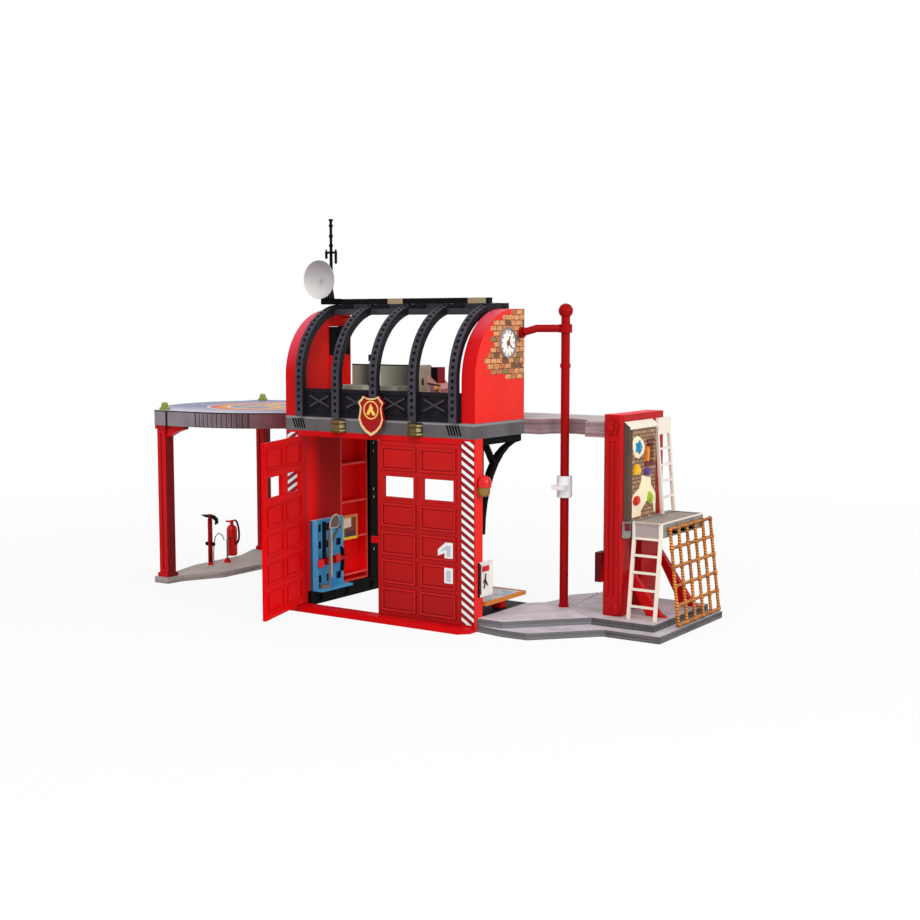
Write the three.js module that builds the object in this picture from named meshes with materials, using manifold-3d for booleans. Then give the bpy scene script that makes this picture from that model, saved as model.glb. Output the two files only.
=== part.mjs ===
import * as THREE from 'three';
import { mergeVertices } from 'three/addons/utils/BufferGeometryUtils.js';
import Module from 'manifold-3d';

const wasm = await Module();
wasm.setup();

// Overall sizes, shared by several pieces
const halfWidth = 105;
const houseDepth = 80;
const floorUnderside = 166.6;
const bandHeight = 13.4;
const seatGap = 0.3;
const cutOverrun = 1;
const fuseDepth = 0.5;
const roundSides = 24;
const smallSides = 12;

// Garage front frame and sill
const pillarWidth = 14.5;
const pillarDepth = 12;
const lintelHeight = 5.1;
const rampReach = 15.7;
const rampSlopeReach = 6.7;
const rampHeight = 4;
const rampBackReach = 5;
const rampCornerCut = 9;

// Door leaves
const hingeInset = 1.8;
const leafSetback = 0.4;
const leafThickness = 3.2;
const meetingGap = 1;
const leftOpenAngle = 72.5;
const hingePinRadius = 0.9;
const hingePinLength = 2.2;
const hingePinPlay = 0.1;
const leafRows = 6;
const solidRowCount = 4;
const rowMargin = 2.4;
const rowGroove = 3.3;
const freeEdgeMargin = 4;
const hingeEdgeMargin = 3;
const columnGroove = 4.2;
const panelRelief = 0.5;
const panelSink = 0.5;
const windowInset = 3;
const windowSill = 1.8;
const latchLevel = 68;
const latchHeight = 6;
const latchTongue = 10.5;
const latchThickness = 1.6;

// Left side of the garage
const sideWallInset = 13.5;
const sideWallThickness = 5.5;
const sideRailHeight = 13;
const sideRailInset = 17.5;
const sideRailOuterInset = 7;
const rearPostFront = 106;
const rearPostDepth = 12.6;
const rearPostInset = 17;
const rearPostOuterInset = 5;
const railSocket = 7;
const railSocketDepth = 1.5;
const railSocketMargin = 10;
const postSocketRadius = 1.8;
const postSocketDepth = 1.2;
const postSocketSpacing = 8;
const postSocketShares = [0.18, 0.52, 0.82];
const shelfUnitFront = 63;
const shelfPanel = 2;
const shelfLevelShares = [0.054, 0.2904, 0.5189, 0.7598];
const pictureWidth = 24;
const pictureHeight = 24;
const pictureThickness = 1.8;
const pictureBorder = 2.6;
const pictureSink = 0.7;
const pictureDrop = 2.6;

// Blue rack with its fittings
const rackStart = 16;
const rackTop = 80;
const rackThickness = 3;
const rackColumns = 3;
const rackRows = 4;
const rackHole = 7;
const rackHoleDepth = 2;
const rackSideFlange = 6;
const rackFlangeThickness = 1.6;
const rackLedgeReach = 14.5;
const rackLedgeThickness = 2;
const couplingRadius = 3.8;
const couplingWidth = 7;
const couplingRodRadius = 1.8;
const couplingLevel = 40;
const couplingShares = [0.09, 0.39, 0.63];
const hoseRadius = 1.1;
const hoseDishRadius = 5.2;
const hoseDishHeight = 3.5;
const hosePlace = 30;
const hoseInShare = 0.5;
const hoseBackShare = 0.6;
const hoseClear = 0.5;
const hoseRise = 67;
const hoseCrown = 84;
const hoseReach = 15;
const hoseReturn = 9;

// Bracket, lamp, board and table on the open right side
const bracketInset = 7;
const bracketThickness = 6;
const bracketReach = 64.7;
const bracketBar = 6;
const bracketFoot = 83.2;
const bracketArm = 5.5;
const bracketStrutWidth = 3;
const alarmOffset = 5.5;
const alarmBaseRadius = 5;
const alarmDomeRadius = 6;
const alarmBaseBottom = 118;
const alarmBaseHeight = 8;
const alarmDomeHeight = 10;
const alarmStemHeight = 6;
const boardStart = 4.5;
const boardWidth = 20.5;
const boardBottom = 30;
const boardHeight = 30;
const boardThickness = 2.2;
const boardBorder = 1.6;
const boardSink = 0.8;
const tableBaseWidth = 47;
const tableBaseFront = 18;
const tableBaseBack = 86;
const tableInset = 35;
const tableOverhang = 3;
const tableFront = 14;
const tableBack = 80;
const tableUnderside = 21;
const tableThickness = 3.5;
const tableEdge = 2;
const tableEdgeSink = 0.6;
const pedestalWidth = 9;
const pedestalShares = [[0.645, 0.63], [0.184, 0.273]];

// Upper floor slab
const nicheRadius = 7.8;
const ventWidth = 14.4;
const ventEdgeInset = 8.3;
const ventSlotCount = 5;
const ventSlotWidth = 1.7;
const ventSlant = 1.6;
const ventDepth = 1.2;
const ventMargin = 2.2;
const pocketRim = 14;
const pocketBackRim = 3;
const pocketRib = 3;
const pocketRoof = 3.4;
const lampFlange = 1.4;

// Vault over the control room
const vaultShoulder = 36;
const vaultRadius = 61.7;
const vaultSegments = 20;
const endWallThickness = 14;
const doorwayFront = 47.5;
const doorwayBack = 78;
const doorwayHeight = 82;
const doorwayFrontStrip = 9.5;
const doorwayBackStrip = 8.7;
const doorwayHead = 6;
const doorwayProud = 1;
const ribProud = 5.3;
const ribWidth = 8.4;
const ribEdgeGap = 1.5;
const ribCount = 5;
const ribWebWidth = 4;
const ribWebDepth = 3.2;
const ribEnd = 77;
const ridgeFront = 44;
const ridgeBack = 54;
const ridgeThickness = 5;
const rearBeamDepth = 5;
const parapetHeight = 25.5;
const parapetThickness = 3;
const parapetRail = 3.4;
const parapetLedge = 3;
const crossRelief = 1;
const crossBar = 2.2;
const crossMargin = 3.4;
const railFront = 46;
const railDepth = 6;
const railHeight = 5;
const railLeftInset = 20;
const railRightInset = 16;
const railGroove = 1.6;
const railGrooveDepth = 1;

// Shield and clock
const shieldHalfWidth = 14;
const shieldBottom = 165.5;
const shieldHeight = 35.5;
const shieldThickness = 3;
const shieldRim = 1.6;
const shieldSink = 0.8;
const shieldOutlineShares = [
  [0, 0.94], [0.3, 0.95], [0.62, 1], [0.74, 0.93], [1, 0.84], [0.84, 0.72],
  [0.9, 0.55], [0.98, 0.42], [0.8, 0.24], [0.46, 0.1], [0, 0],
];
const clockRadius = 13.5;
const clockInset = 29.4;
const clockRise = 32;
const clockThickness = 2.2;
const clockRim = 1.8;
const clockSink = 0.9;

// Control desk and what stands on it
const deskLeft = -62;
const deskRight = 8;
const deskFront = 20;
const deskBack = 46;
const deskHeight = 28.4;
const deskTopThickness = 4;
const deskLegInset = 3;
const screenHeight = 19.2;
const screenThickness = 2.4;
const screenSag = 5;
const screenBack = 42;
const screenSegments = 10;
const screenSpanShares = [[0.0614, 0.3357], [0.5286, 0.9714]];
const micPlace = -31.5;
const micDepth = 34;
const micRise = 28;
const micFootRadius = 3.4;
const micFootHeight = 1.6;
const micStalkRadius = 0.8;
const micHeadRadius = 2.4;
const micHeadHeight = 6;
const cabinetLeft = 19.4;
const cabinetRight = 49;
const cabinetShelf = 24;
const cabinetTop = 47.5;
const cabinetLow = 27;
const cabinetFront = 30;
const cabinetBack = 50;
const radioLeft = 36.3;
const radioWidth = 7.1;
const radioTop = 46;
const radioFront = 33;
const radioDepth = 12;
const bellRadius = 5.5;
const bellHeight = 9;
const bellInset = 10;
const bellDrop = 7.7;
const bellReach = 7;
const bellStem = 1.6;

// Mast and dish
const mastInset = 17;
const mastDepth = 49;
const mastBaseInset = 11;
const mastBaseFront = 39;
const mastBaseBack = 53;
const mastBaseHeight = 5.4;
const mastFootRadius = 3;
const mastFootHeight = 8;
const mastRadius = 1.6;
const mastTipRadius = 0.7;
const mastHeight = 74.5;
const crossbarShare = 0.584;
const crossbarReach = 9;
const crossbarRadius = 0.9;
const whipHeight = 13;
const whipDrop = 4;
const dishInset = 15;
const dishPivotDepth = 43;
const dishPivotRise = 17.5;
const dishRadius = 18;
const dishHollow = 6;
const dishThickness = 1.2;
const dishRimReach = 12;
const dishRings = 6;
const dishSides = 32;
const dishPinRadius = 1.5;
const dishPinPlay = 0.12;
const dishBossHalf = 2.4;
const earThickness = 2;
const earDepth = 5;
const armFootThickness = 2;
const feedRadius = 0.8;
const feedLength = 7;

// Pole with its arm and clip
const poleReach = 37;
const poleSetback = 9;
const poleRadius = 3.9;
const poleFlangeRadius = 4.6;
const poleFlangeHeight = 2;
const ballRadius = 6.5;
const ballRise = 60;
const collarRise = 46;
const collarRadius = 4.7;
const collarHeight = 3.6;
const armRadius = 3.4;
const armFlangeRadius = 5;
const armFlangeThickness = 2.5;
const armFlangeInset = 5.4;
const armFlangeRise = 41;
const armBendReach = 12.4;
const armBendSetback = 0.8;
const armBendRise = 44.5;
const ringRadius = 5.8;
const ringHeight = 7.6;
const clipBottom = 111;
const clipHeight = 19;
const clipRadius = 6.8;
const clipPlay = 0.35;
const clipGripReach = 13;
const clipGripWidth = 12;
const clipGripHeight = 4;

// Rear deck
const deckBack = 157;
const deckNotchRadius = 22;
const deckNotchShift = 3;
const deckPocketRim = 4;
const deckPocketCount = 3;

// Ground platforms
const stepHeight = 6;
const platformHeight = 12;
const groundWidth = 151.7;
const groundDepth = 176;
const platformShares = [
  [0, 0.017], [0.1661, 0.017], [0.5241, 0.3409], [0.2861, 0.4886], [0.2076, 0.9432],
  [0.0969, 0.7955], [0.1101, 0.6364], [0.0837, 0.5455], [0, 0.483],
];
const lowStepShares = [
  [0, 0.017], [0.1826, -0.0114], [0.3474, -0.0057], [0.6374, 0.2585], [0.6684, 0.2727],
  [0.6684, 0.3409], [0.5241, 0.3409], [0.2861, 0.4886], [0.2076, 0.9432], [0.0969, 0.7955],
  [0.1101, 0.6364], [0.0837, 0.5455], [0, 0.483],
];
const towerBaseShares = [
  [0.5274, 0.3432], [0.9209, 0.3432], [0.9209, 0.9773], [0.2109, 0.9773], [0.2894, 0.4909],
];
const towerStepShares = [
  [0.6704, 0.267], [1, 0.267], [1, 1], [0.2109, 1], [0.2894, 0.4909], [0.5274, 0.3432],
  [0.6704, 0.3432],
];

// Tower frame
const columnReach = 82;
const columnWidth = 18.5;
const columnFront = 76;
const columnBack = 92;
const towerTop = 187;
const columnChamfer = 2.5;
const columnGrooveWidth = 2.4;
const columnGrooveDepth = 1;
const columnGrooves = 2;
const beamInset = 2;
const beamWidth = 16;
const beamHeight = 14;
const rearLegFront = 141;
const rearLegBack = 157;
const rearFootFront = 116.5;
const rearFootBack = 151.5;
const rearFootTop = 83;
const lugReach = 5.5;
const lugBottom = 41;
const lugHeight = 26;
const lugDepth = 12;
const starRadius = 7.5;
const starDepth = 1.6;
const starNotchShare = 0.66;
const starPoints = 5;
const starBossShare = 0.4;
const starLevel = 176;
const knobRadius = 4;
const knobHeight = 5;

// Climbing wall
const wallFront = 79;
const wallBack = 133;
const wallTop = 175;
const wallThickness = 3.7;
const wallStrip = 7;
const wallStripProud = 0.8;
const copingHeight = 6;
const copingReach = 5.7;
const copingLip = 2;
const windowFront = 115;
const windowBack = 129;
const windowBottom = 142;
const windowTop = 160;
const holdHeight = 3.6;
const holdRadius = 6.4;
const holdStepShare = 0.6;
const holdPlaceShares = [
  [0.3296, 0.7913, 1],
  [0.2889, 0.545, 0.92],
  [0.6667, 0.5075, 0.95],
  [0.2667, 0.2113, 0.95],
  [0.7537, 0.2175, 0.92],
];
const holdOutlineShares = [
  [1, 0.55, 0.96, 0.58, 1, 0.55, 0.98, 0.6, 1, 0.56],
  [1, 0.74, 0.78, 0.98, 0.76, 0.72, 1, 0.76, 0.7, 0.96],
  [1, 0.86, 0.62, 0.6, 0.8, 1, 0.84, 0.56, 0.6, 0.82],
  [1, 0.94, 0.72, 0.66, 0.84, 0.98, 0.9, 0.7, 0.66, 0.86],
  [0.8, 0.72, 0.7, 1, 0.74, 0.72, 0.9, 0.98, 0.96, 0.88],
];

// Landing, ladders, net and braces
const landingWidth = 34;
const landingFront = 86;
const landingBack = 170;
const landingTop = 95;
const landingThickness = 13;
const clampFront = 77;
const clampBack = 100;
const clampDrop = 1;
const clampReach = 5.2;
const netPinRadius = 1.5;
const netPinReach = 4;
const netPinShares = [0.1, 0.3, 0.5];
const landingRim = 2.5;
const landingSink = 0.8;
const ladderRail = 2.6;
const ladderRailDepth = 3;
const ladderReach = 7.2;
const ladderWidth = 27.6;
const lowerFootFront = 73;
const rungPitch = 14.5;
const rungHeight = 2;
const rungDepth = 2.2;
const lowerRungs = 5;
const upperRungs = 4;
const ladderPlateThickness = 2.6;
const lowerPlateSink = 0.7;
const upperLadderFront = 141;
const upperLadderBack = 167;
const upperPlateBottom = 166;
const upperPlateTop = 181;
const upperFootStep = 8.5;
const netTopGap = 2;
const netTopLevel = 89;
const netTopFront = 97;
const netTopBack = 181;
const netSpread = 13;
const netBottomFront = 89;
const netBottomBack = 174;
const netStrandRadius = 1.4;
const netKnotRadius = 2.2;
const netKnotLength = 7;
const netStrands = 6;
const netSides = 6;
const braceWidth = 6;
const braceDepth = 7;
const braceFrontTop = 45.5;
const braceRearTop = 54;
const braceFrontReach = 29;
const braceRearReach = 33;
const braceLug = 6;
const braceFootLength = 12;
const braceFootHeight = 3;

// Helipad
const padReach = 132;
const padY = 135;
const padRadius = 117;
const padBottom = 162;
const padThickness = 15.4;
const padSides = 72;
const neckFront = 50;
const neckBack = 110;
const neckReach = 45;
const padFrontBlockReach = 189.7;
const padFrontBlockWidth = 55.7;
const padFrontBlockFront = 17;
const padFrontBlockDepth = 43;
const padFrontSlotReach = 174;
const padFrontSlot = 2.4;
const padFrontSlotDepth = 1;
const padRearBlockReach = 231;
const padRearBlockWidth = 36;
const padRearBlockFront = 190;
const padRearBlockDepth = 35;
const padRibCount = 11;
const padRibPitch = 5.15;
const padRibRadius = 1.3;
const padRibShift = 0.5;
const padPocketRim = 12;
const padPocketRoof = 3.5;
const padPocketRib = 4;
const postWidth = 11.4;
const postCollarWidth = 14.4;
const postCollarHeight = 4;
const postGroove = 2;
const postGrooveDepth = 0.8;
const frontPostReach = 185;
const frontPostDepth = 27;
const rearPadPostReach = 218;
const rearPadPostDepth = 213;
const gussetReach = 24;
const gussetDrop = 13;
const gussetLip = 3.4;
const padLampRadius = 5.5;
const padLampHeight = 7.5;
const padBaseHeight = 6;
const padBaseReach = 228;
const padBaseWidth = 75;
const padBaseFront = 17;
const padBaseDepth = 206;
const padBaseShares = [
  [0.4533, 0], [0.7067, 0], [0.7333, 0.1019], [1, 0.2864], [1, 0.5825], [0.6, 0.7913],
  [0.28, 0.8981], [0.28, 1], [0, 1], [0, 0.9029], [0.2267, 0.7184], [0.2533, 0.3544],
  [0.44, 0.1359],
];

// Axe and extinguisher on the helipad base
const axeReach = 195;
const axeY = 100;
const axeHeight = 55;
const axeHandleRadius = 1.9;
const axeFootRadius = 3.2;
const axeFootHeight = 4;
const axeHeadThickness = 2.2;
const axeHeadShares = [
  [-0.24, 0.97], [-0.1, 0.985], [0, 1], [0.1, 0.985], [0.2, 0.93], [0.21, 0.84], [0.14, 0.8],
  [0.15, 0.88], [0.06, 0.93], [-0.08, 0.93],
];
const bottleReach = 198;
const bottleY = 137;
const bottleRadius = 5.8;
const bottleHeight = 34;
const bottleLift = 5;
const bottleNeckRadius = 2;
const bottleNeckHeight = 5;
const standReach = 191;
const standY = 122;
const standFootRadius = 4.4;
const standFootHeight = 5;
const standRodRadius = 1;
const standRodHeight = 26;
const bottleHoseRadius = 1.1;
const bottleHoseReach = 4.5;
const bottleLeverReach = 8;
const bottleLeverWidth = 2.2;
const bottleLeverHeight = 1.8;

// Sizes worked out from the ones above
const floorTop = floorUnderside + bandHeight;
const doorwayEdge = halfWidth - pillarWidth;
const lintelUnderside = floorUnderside - lintelHeight;
const hingeX = doorwayEdge - hingeInset;
const hingeY = leafSetback + leafThickness / 2;
const leafLength = hingeX - meetingGap;
const leafBottom = rampHeight + seatGap;
const leafTop = lintelUnderside - seatGap;
const vaultCentre = floorTop + vaultShoulder;
const vaultTop = vaultCentre + vaultRadius;
const ribOuter = vaultRadius + ribProud;
const endWallInnerFace = halfWidth - endWallThickness;
const sideWallInnerFace = halfWidth - sideWallInset;
const sideRailInnerFace = halfWidth - sideRailInset;
const sideRailOuterFace = halfWidth - sideRailOuterInset;
const rearPostInnerFace = halfWidth - rearPostInset;
const rearPostOuterFace = halfWidth - rearPostOuterInset;
const shelfRun = floorUnderside - sideRailHeight;
const shelfLevels = shelfLevelShares.map((share) => sideRailHeight + shelfRun * share);
const bracketInnerFace = halfWidth - bracketInset;
const tableBaseLeft = halfWidth - tableBaseWidth;
const tableLeft = halfWidth - tableInset;
const tableRight = halfWidth + tableOverhang;
const ribRun = endWallInnerFace - seatGap - ribEdgeGap - ribWidth / 2;
const ribSpacing = (ribRun * 2) / (ribCount - 1);
const railLeft = halfWidth - railLeftInset;
const railRight = halfWidth - railRightInset;
const poleX = halfWidth + poleReach;
const poleY = houseDepth + poleSetback;
const columnLeft = halfWidth + columnReach;
const columnRight = columnLeft + columnWidth;
const beamLeft = columnLeft + beamInset;
const beamRight = beamLeft + beamWidth;
const landingRight = columnRight + landingWidth;
const ladderLeft = columnRight + ladderReach;
const ladderRight = ladderLeft + ladderWidth;
const netTopX = landingRight + netTopGap;
const netBottomX = netTopX + netSpread;
const padX = -halfWidth - padReach;
const frontPost = [-halfWidth - frontPostReach, frontPostDepth];
const rearPadPost = [-halfWidth - rearPadPostReach, rearPadPostDepth];

// An outline from shares of a width and a depth
function spread(shares, x, width, y, depth) {
  return shares.map(([u, v]) => [x + u * width, y + v * depth]);
}

// Solids from closed geometries
function solidOf(geometry) {
  const bare = geometry.clone();
  bare.deleteAttribute('normal');
  bare.deleteAttribute('uv');
  const merged = mergeVertices(bare);
  const mesh = new wasm.Mesh({
    numProp: 3,
    vertProperties: merged.attributes.position.array,
    triVerts: new Uint32Array(merged.index.array),
  });
  return new wasm.Manifold(mesh);
}

function geometryOf(solid) {
  const mesh = solid.getMesh();
  const indexed = new THREE.BufferGeometry();
  indexed.setAttribute('position', new THREE.BufferAttribute(mesh.vertProperties, 3));
  indexed.setIndex(new THREE.BufferAttribute(mesh.triVerts, 1));
  const geometry = indexed.toNonIndexed();
  geometry.computeVertexNormals();
  return geometry;
}

function joined(solids) {
  return solids.reduce((whole, solid) => whole.add(solid));
}

function block(x0, x1, y0, y1, z0, z1) {
  const geometry = new THREE.BoxGeometry(x1 - x0, y1 - y0, z1 - z0);
  geometry.translate((x0 + x1) / 2, (y0 + y1) / 2, (z0 + z1) / 2);
  return solidOf(geometry);
}

const axisTurns = {
  x: new THREE.Matrix4().set(0, 0, 1, 0, 1, 0, 0, 0, 0, 1, 0, 0, 0, 0, 0, 1),
  y: new THREE.Matrix4().set(1, 0, 0, 0, 0, 0, -1, 0, 0, 1, 0, 0, 0, 0, 0, 1),
  z: new THREE.Matrix4(),
};

// A flat outline drawn across an axis and pushed along it: (y, z) on x, (x, z) on y, (x, y) on z
function prism(axis, outline, from, to) {
  const points = outline.map(([u, v]) => new THREE.Vector2(u, v));
  const shape = new THREE.Shape(points);
  const geometry = new THREE.ExtrudeGeometry(shape, { depth: to - from, bevelEnabled: false });
  geometry.translate(0, 0, axis === 'y' ? -to : from);
  geometry.applyMatrix4(axisTurns[axis]);
  return solidOf(geometry);
}

// A profile of (radius, height) points turned about an upright line
function turned(profile, x, y, z, sides) {
  const points = profile.map(([radius, height]) => new THREE.Vector2(radius, height));
  const geometry = new THREE.LatheGeometry(points, sides);
  geometry.rotateX(Math.PI / 2);
  geometry.translate(x, y, z);
  return solidOf(geometry);
}

function upright(x, y, z0, z1, radius, sides) {
  return turned([[0, 0], [radius, 0], [radius, z1 - z0], [0, z1 - z0]], x, y, z0, sides);
}

// A round bar between two points
function bar(start, end, radius, sides) {
  const a = new THREE.Vector3(...start);
  const b = new THREE.Vector3(...end);
  const along = b.clone().sub(a);
  const geometry = new THREE.CylinderGeometry(radius, radius, along.length(), sides);
  const turn = new THREE.Quaternion();
  turn.setFromUnitVectors(new THREE.Vector3(0, 1, 0), along.clone().normalize());
  geometry.applyQuaternion(turn);
  geometry.translate((a.x + b.x) / 2, (a.y + b.y) / 2, (a.z + b.z) / 2);
  return solidOf(geometry);
}

// A round bar bent along a smooth line through points
function bentBar(points, radius, steps, sides) {
  const path = new THREE.CatmullRomCurve3(points.map((point) => new THREE.Vector3(...point)));
  const ring = [];
  for (let i = 0; i < sides; i += 1) {
    const angle = (i / sides) * Math.PI * 2;
    ring.push(new THREE.Vector2(Math.cos(angle) * radius, Math.sin(angle) * radius));
  }
  const settings = { steps, extrudePath: path, bevelEnabled: false };
  return solidOf(new THREE.ExtrudeGeometry(new THREE.Shape(ring), settings));
}

function arcPoints(centreU, centreV, radius, fromAngle, toAngle, steps) {
  const points = [];
  for (let i = 0; i <= steps; i += 1) {
    const angle = fromAngle + ((toAngle - fromAngle) * i) / steps;
    points.push([centreU + Math.cos(angle) * radius, centreV + Math.sin(angle) * radius]);
  }
  return points;
}

const station = new THREE.Group();
station.name = 'toy_fire_station';

function addPiece(name, solid, colour, roughness, metalness) {
  const material = new THREE.MeshStandardMaterial({ color: colour, roughness, metalness });
  const mesh = new THREE.Mesh(geometryOf(solid), material);
  mesh.name = name;
  station.add(mesh);
  return mesh;
}

const red = 0xc8141a;
const charcoal = 0x2b2a2e;
const bandGrey = 0x77797d;
const stoneGrey = 0xa29fa6;
const cream = 0xefe6d4;
const white = 0xf2f2f0;
const paleBlue = 0x46a0d2;
const gold = 0xb98a2c;
const glossy = 0.35;
const satin = 0.5;

// Front frame: two pillars and the lintel
const pillars = [-1, 1].map((side) => {
  const inner = side * doorwayEdge;
  const outer = side * halfWidth;
  const left = Math.min(inner, outer);
  const right = Math.max(inner, outer);
  return block(left, right, 0, pillarDepth, 0, floorUnderside);
});
const lintel = block(-halfWidth, halfWidth, 0, pillarDepth, lintelUnderside, floorUnderside);
const pinHoleRadius = hingePinRadius + hingePinPlay;
const pinHoles = [-1, 1].map((side) => {
  const bottom = leafTop - cutOverrun;
  const top = leafTop + hingePinLength + seatGap;
  return upright(side * hingeX, hingeY, bottom, top, pinHoleRadius, smallSides);
});
const frontFrame = joined([...pillars, lintel]).subtract(joined(pinHoles));
addPiece('front_frame', frontFrame, red, glossy, 0);

// Sill in front of and under the doors
const rampProfile = [
  [-rampReach, 0], [-seatGap, 0], [-seatGap, rampHeight], [rampSlopeReach - rampReach, rampHeight],
];
const rampFront = prism('x', rampProfile, -halfWidth, halfWidth);
const rampInner = doorwayEdge - seatGap;
const rampBack = block(-rampInner, rampInner, -cutOverrun, rampBackReach, 0, rampHeight);
const rampCuts = [-1, 1].map((side) => {
  const corner = [side * (halfWidth + cutOverrun), -rampReach - cutOverrun];
  const along = [side * (halfWidth - rampCornerCut), -rampReach - cutOverrun];
  const aside = [side * (halfWidth + cutOverrun), -rampReach + rampCornerCut];
  const outline = side > 0 ? [along, corner, aside] : [along, aside, corner];
  return prism('z', outline, -cutOverrun, rampHeight + cutOverrun);
});
addPiece('threshold_ramp', joined([rampFront, rampBack]).subtract(joined(rampCuts)), red, glossy, 0);

// One door leaf, drawn with its hinge line at the origin; side is -1 when it runs to the left
function doorLeaf(side) {
  const half = leafThickness / 2;
  const front = -half;
  const height = leafTop - leafBottom;
  const across = (from, to, y0, y1, z0, z1) => {
    const left = Math.min(side * from, side * to);
    const right = Math.max(side * from, side * to);
    return block(left, right, y0, y1, z0, z1);
  };
  const plate = across(0, leafLength, -half, half, leafBottom, leafTop);
  const knuckle = upright(0, 0, leafBottom, leafTop, half, roundSides);
  const pinTop = leafTop + hingePinLength;
  const pin = upright(0, 0, leafTop - fuseDepth, pinTop, hingePinRadius, smallSides);
  const pitch = (height - rowMargin * 2) / leafRows;
  const columnWidth = (leafLength - hingeEdgeMargin - freeEdgeMargin - columnGroove) / 2;
  const added = [];
  const cuts = [];
  for (let row = 0; row < leafRows; row += 1) {
    const z0 = leafBottom + rowMargin + pitch * row + rowGroove / 2;
    const z1 = z0 + pitch - rowGroove;
    for (let column = 0; column < 2; column += 1) {
      const start = hingeEdgeMargin + column * (columnWidth + columnGroove);
      const end = start + columnWidth;
      added.push(across(start, end, front - panelRelief, front + fuseDepth, z0, z1));
      if (row === solidRowCount) {
        const wStart = start + windowInset;
        const wEnd = end - windowInset;
        const w0 = z0 + windowSill;
        const w1 = z1 - windowSill;
        const reach = half + cutOverrun;
        cuts.push(across(wStart, wEnd, -reach, reach, w0, w1));
      } else {
        cuts.push(across(start, end, half - panelSink, half + cutOverrun, z0, z1));
      }
    }
  }
  return joined([plate, knuckle, pin, ...added]).subtract(joined(cuts));
}

const rightLeaf = addPiece('right_door_leaf', doorLeaf(-1), red, glossy, 0);
rightLeaf.position.set(hingeX, hingeY, 0);
const leftLeaf = addPiece('left_door_leaf', doorLeaf(1), red, glossy, 0);
leftLeaf.position.set(-hingeX, hingeY, 0);
leftLeaf.rotation.z = THREE.MathUtils.degToRad(-leftOpenAngle);

// Latch on the back of the right leaf, which the left leaf shuts against
const latchTop = latchLevel + latchHeight;
const leafBack = leafSetback + leafThickness;
const latchBack = leafBack + seatGap + latchThickness;
const latchBody = block(
  meetingGap, meetingGap + freeEdgeMargin, leafBack, latchBack, latchLevel, latchTop,
);
const latchLap = block(
  meetingGap - latchTongue, meetingGap + fuseDepth, leafBack + seatGap, latchBack,
  latchLevel, latchTop,
);
addPiece('door_latch', joined([latchBody, latchLap]), red, satin, 0);

// Left wall, its rail and the rear post
const sideWallOuterFace = sideWallInnerFace + sideWallThickness;
const sideWallFront = pillarDepth + seatGap;
const sideWall = block(
  -sideWallOuterFace, -sideWallInnerFace, sideWallFront, shelfUnitFront - seatGap,
  sideRailHeight, floorUnderside,
);
addPiece('left_side_wall', sideWall, red, glossy, 0);

const rearPostBack = rearPostFront + rearPostDepth;
const sideRail = block(
  -sideRailOuterFace, -sideRailInnerFace, sideWallFront, rearPostBack, 0, sideRailHeight,
);
const socketBottom = (sideRailHeight - railSocket) / 2;
const socketStart = sideWallFront + railSocketMargin;
const socketRun = rearPostBack - sideWallFront - railSocketMargin * 2 - railSocket;
const railSockets = [0, 1, 2].map((index) => {
  const y0 = socketStart + (socketRun * index) / 2;
  return block(
    -sideRailInnerFace - railSocketDepth, -sideRailInnerFace + cutOverrun,
    y0, y0 + railSocket, socketBottom, socketBottom + railSocket,
  );
});
addPiece('side_wall_rail', sideRail.subtract(joined(railSockets)), charcoal, satin, 0);

const rearPostSolid = block(
  -rearPostOuterFace, -rearPostInnerFace, rearPostFront, rearPostBack,
  sideRailHeight, floorUnderside,
);
const postSockets = [];
for (const share of postSocketShares) {
  for (const step of [0, 1]) {
    const level = sideRailHeight + shelfRun * share + step * postSocketSpacing;
    const middle = rearPostFront + rearPostDepth / 2;
    const start = [-rearPostInnerFace - postSocketDepth, middle, level];
    const end = [-rearPostInnerFace + cutOverrun, middle, level];
    postSockets.push(bar(start, end, postSocketRadius, smallSides));
  }
}
addPiece('rear_post', rearPostSolid.subtract(joined(postSockets)), charcoal, satin, 0);

// Shelf niches in the left wall, with a picture hung at their front
const shelfUnitBack = rearPostFront - seatGap;
const shelfOuter = block(
  -halfWidth, -sideWallInnerFace, shelfUnitFront, shelfUnitBack,
  sideRailHeight, floorUnderside,
);
const shelfFloors = [sideRailHeight, ...shelfLevels];
const shelfHollows = shelfFloors.map((level, index) => {
  const next = index + 1 < shelfFloors.length ? shelfFloors[index + 1] : floorUnderside;
  return block(
    -halfWidth + shelfPanel, -sideWallInnerFace + cutOverrun,
    shelfUnitFront + shelfPanel, shelfUnitBack - shelfPanel,
    level + (index === 0 ? shelfPanel : 0), next - shelfPanel,
  );
});
addPiece('shelf_unit', shelfOuter.subtract(joined(shelfHollows)), red, glossy, 0);

const pictureBack = -sideWallInnerFace + seatGap;
const pictureFront = pictureBack + pictureThickness;
const pictureBottom = shelfLevels[1] - pictureDrop;
const pictureTop = pictureBottom + pictureHeight;
const pictureEnd = shelfUnitFront + pictureWidth;
const picturePlate = block(
  pictureBack, pictureFront, shelfUnitFront, pictureEnd, pictureBottom, pictureTop,
);
const pictureField = block(
  pictureFront - pictureSink, pictureFront + cutOverrun,
  shelfUnitFront + pictureBorder, pictureEnd - pictureBorder,
  pictureBottom + pictureBorder, pictureTop - pictureBorder,
);
addPiece('framed_picture', picturePlate.subtract(pictureField), 0xe08a1e, satin, 0);

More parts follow.
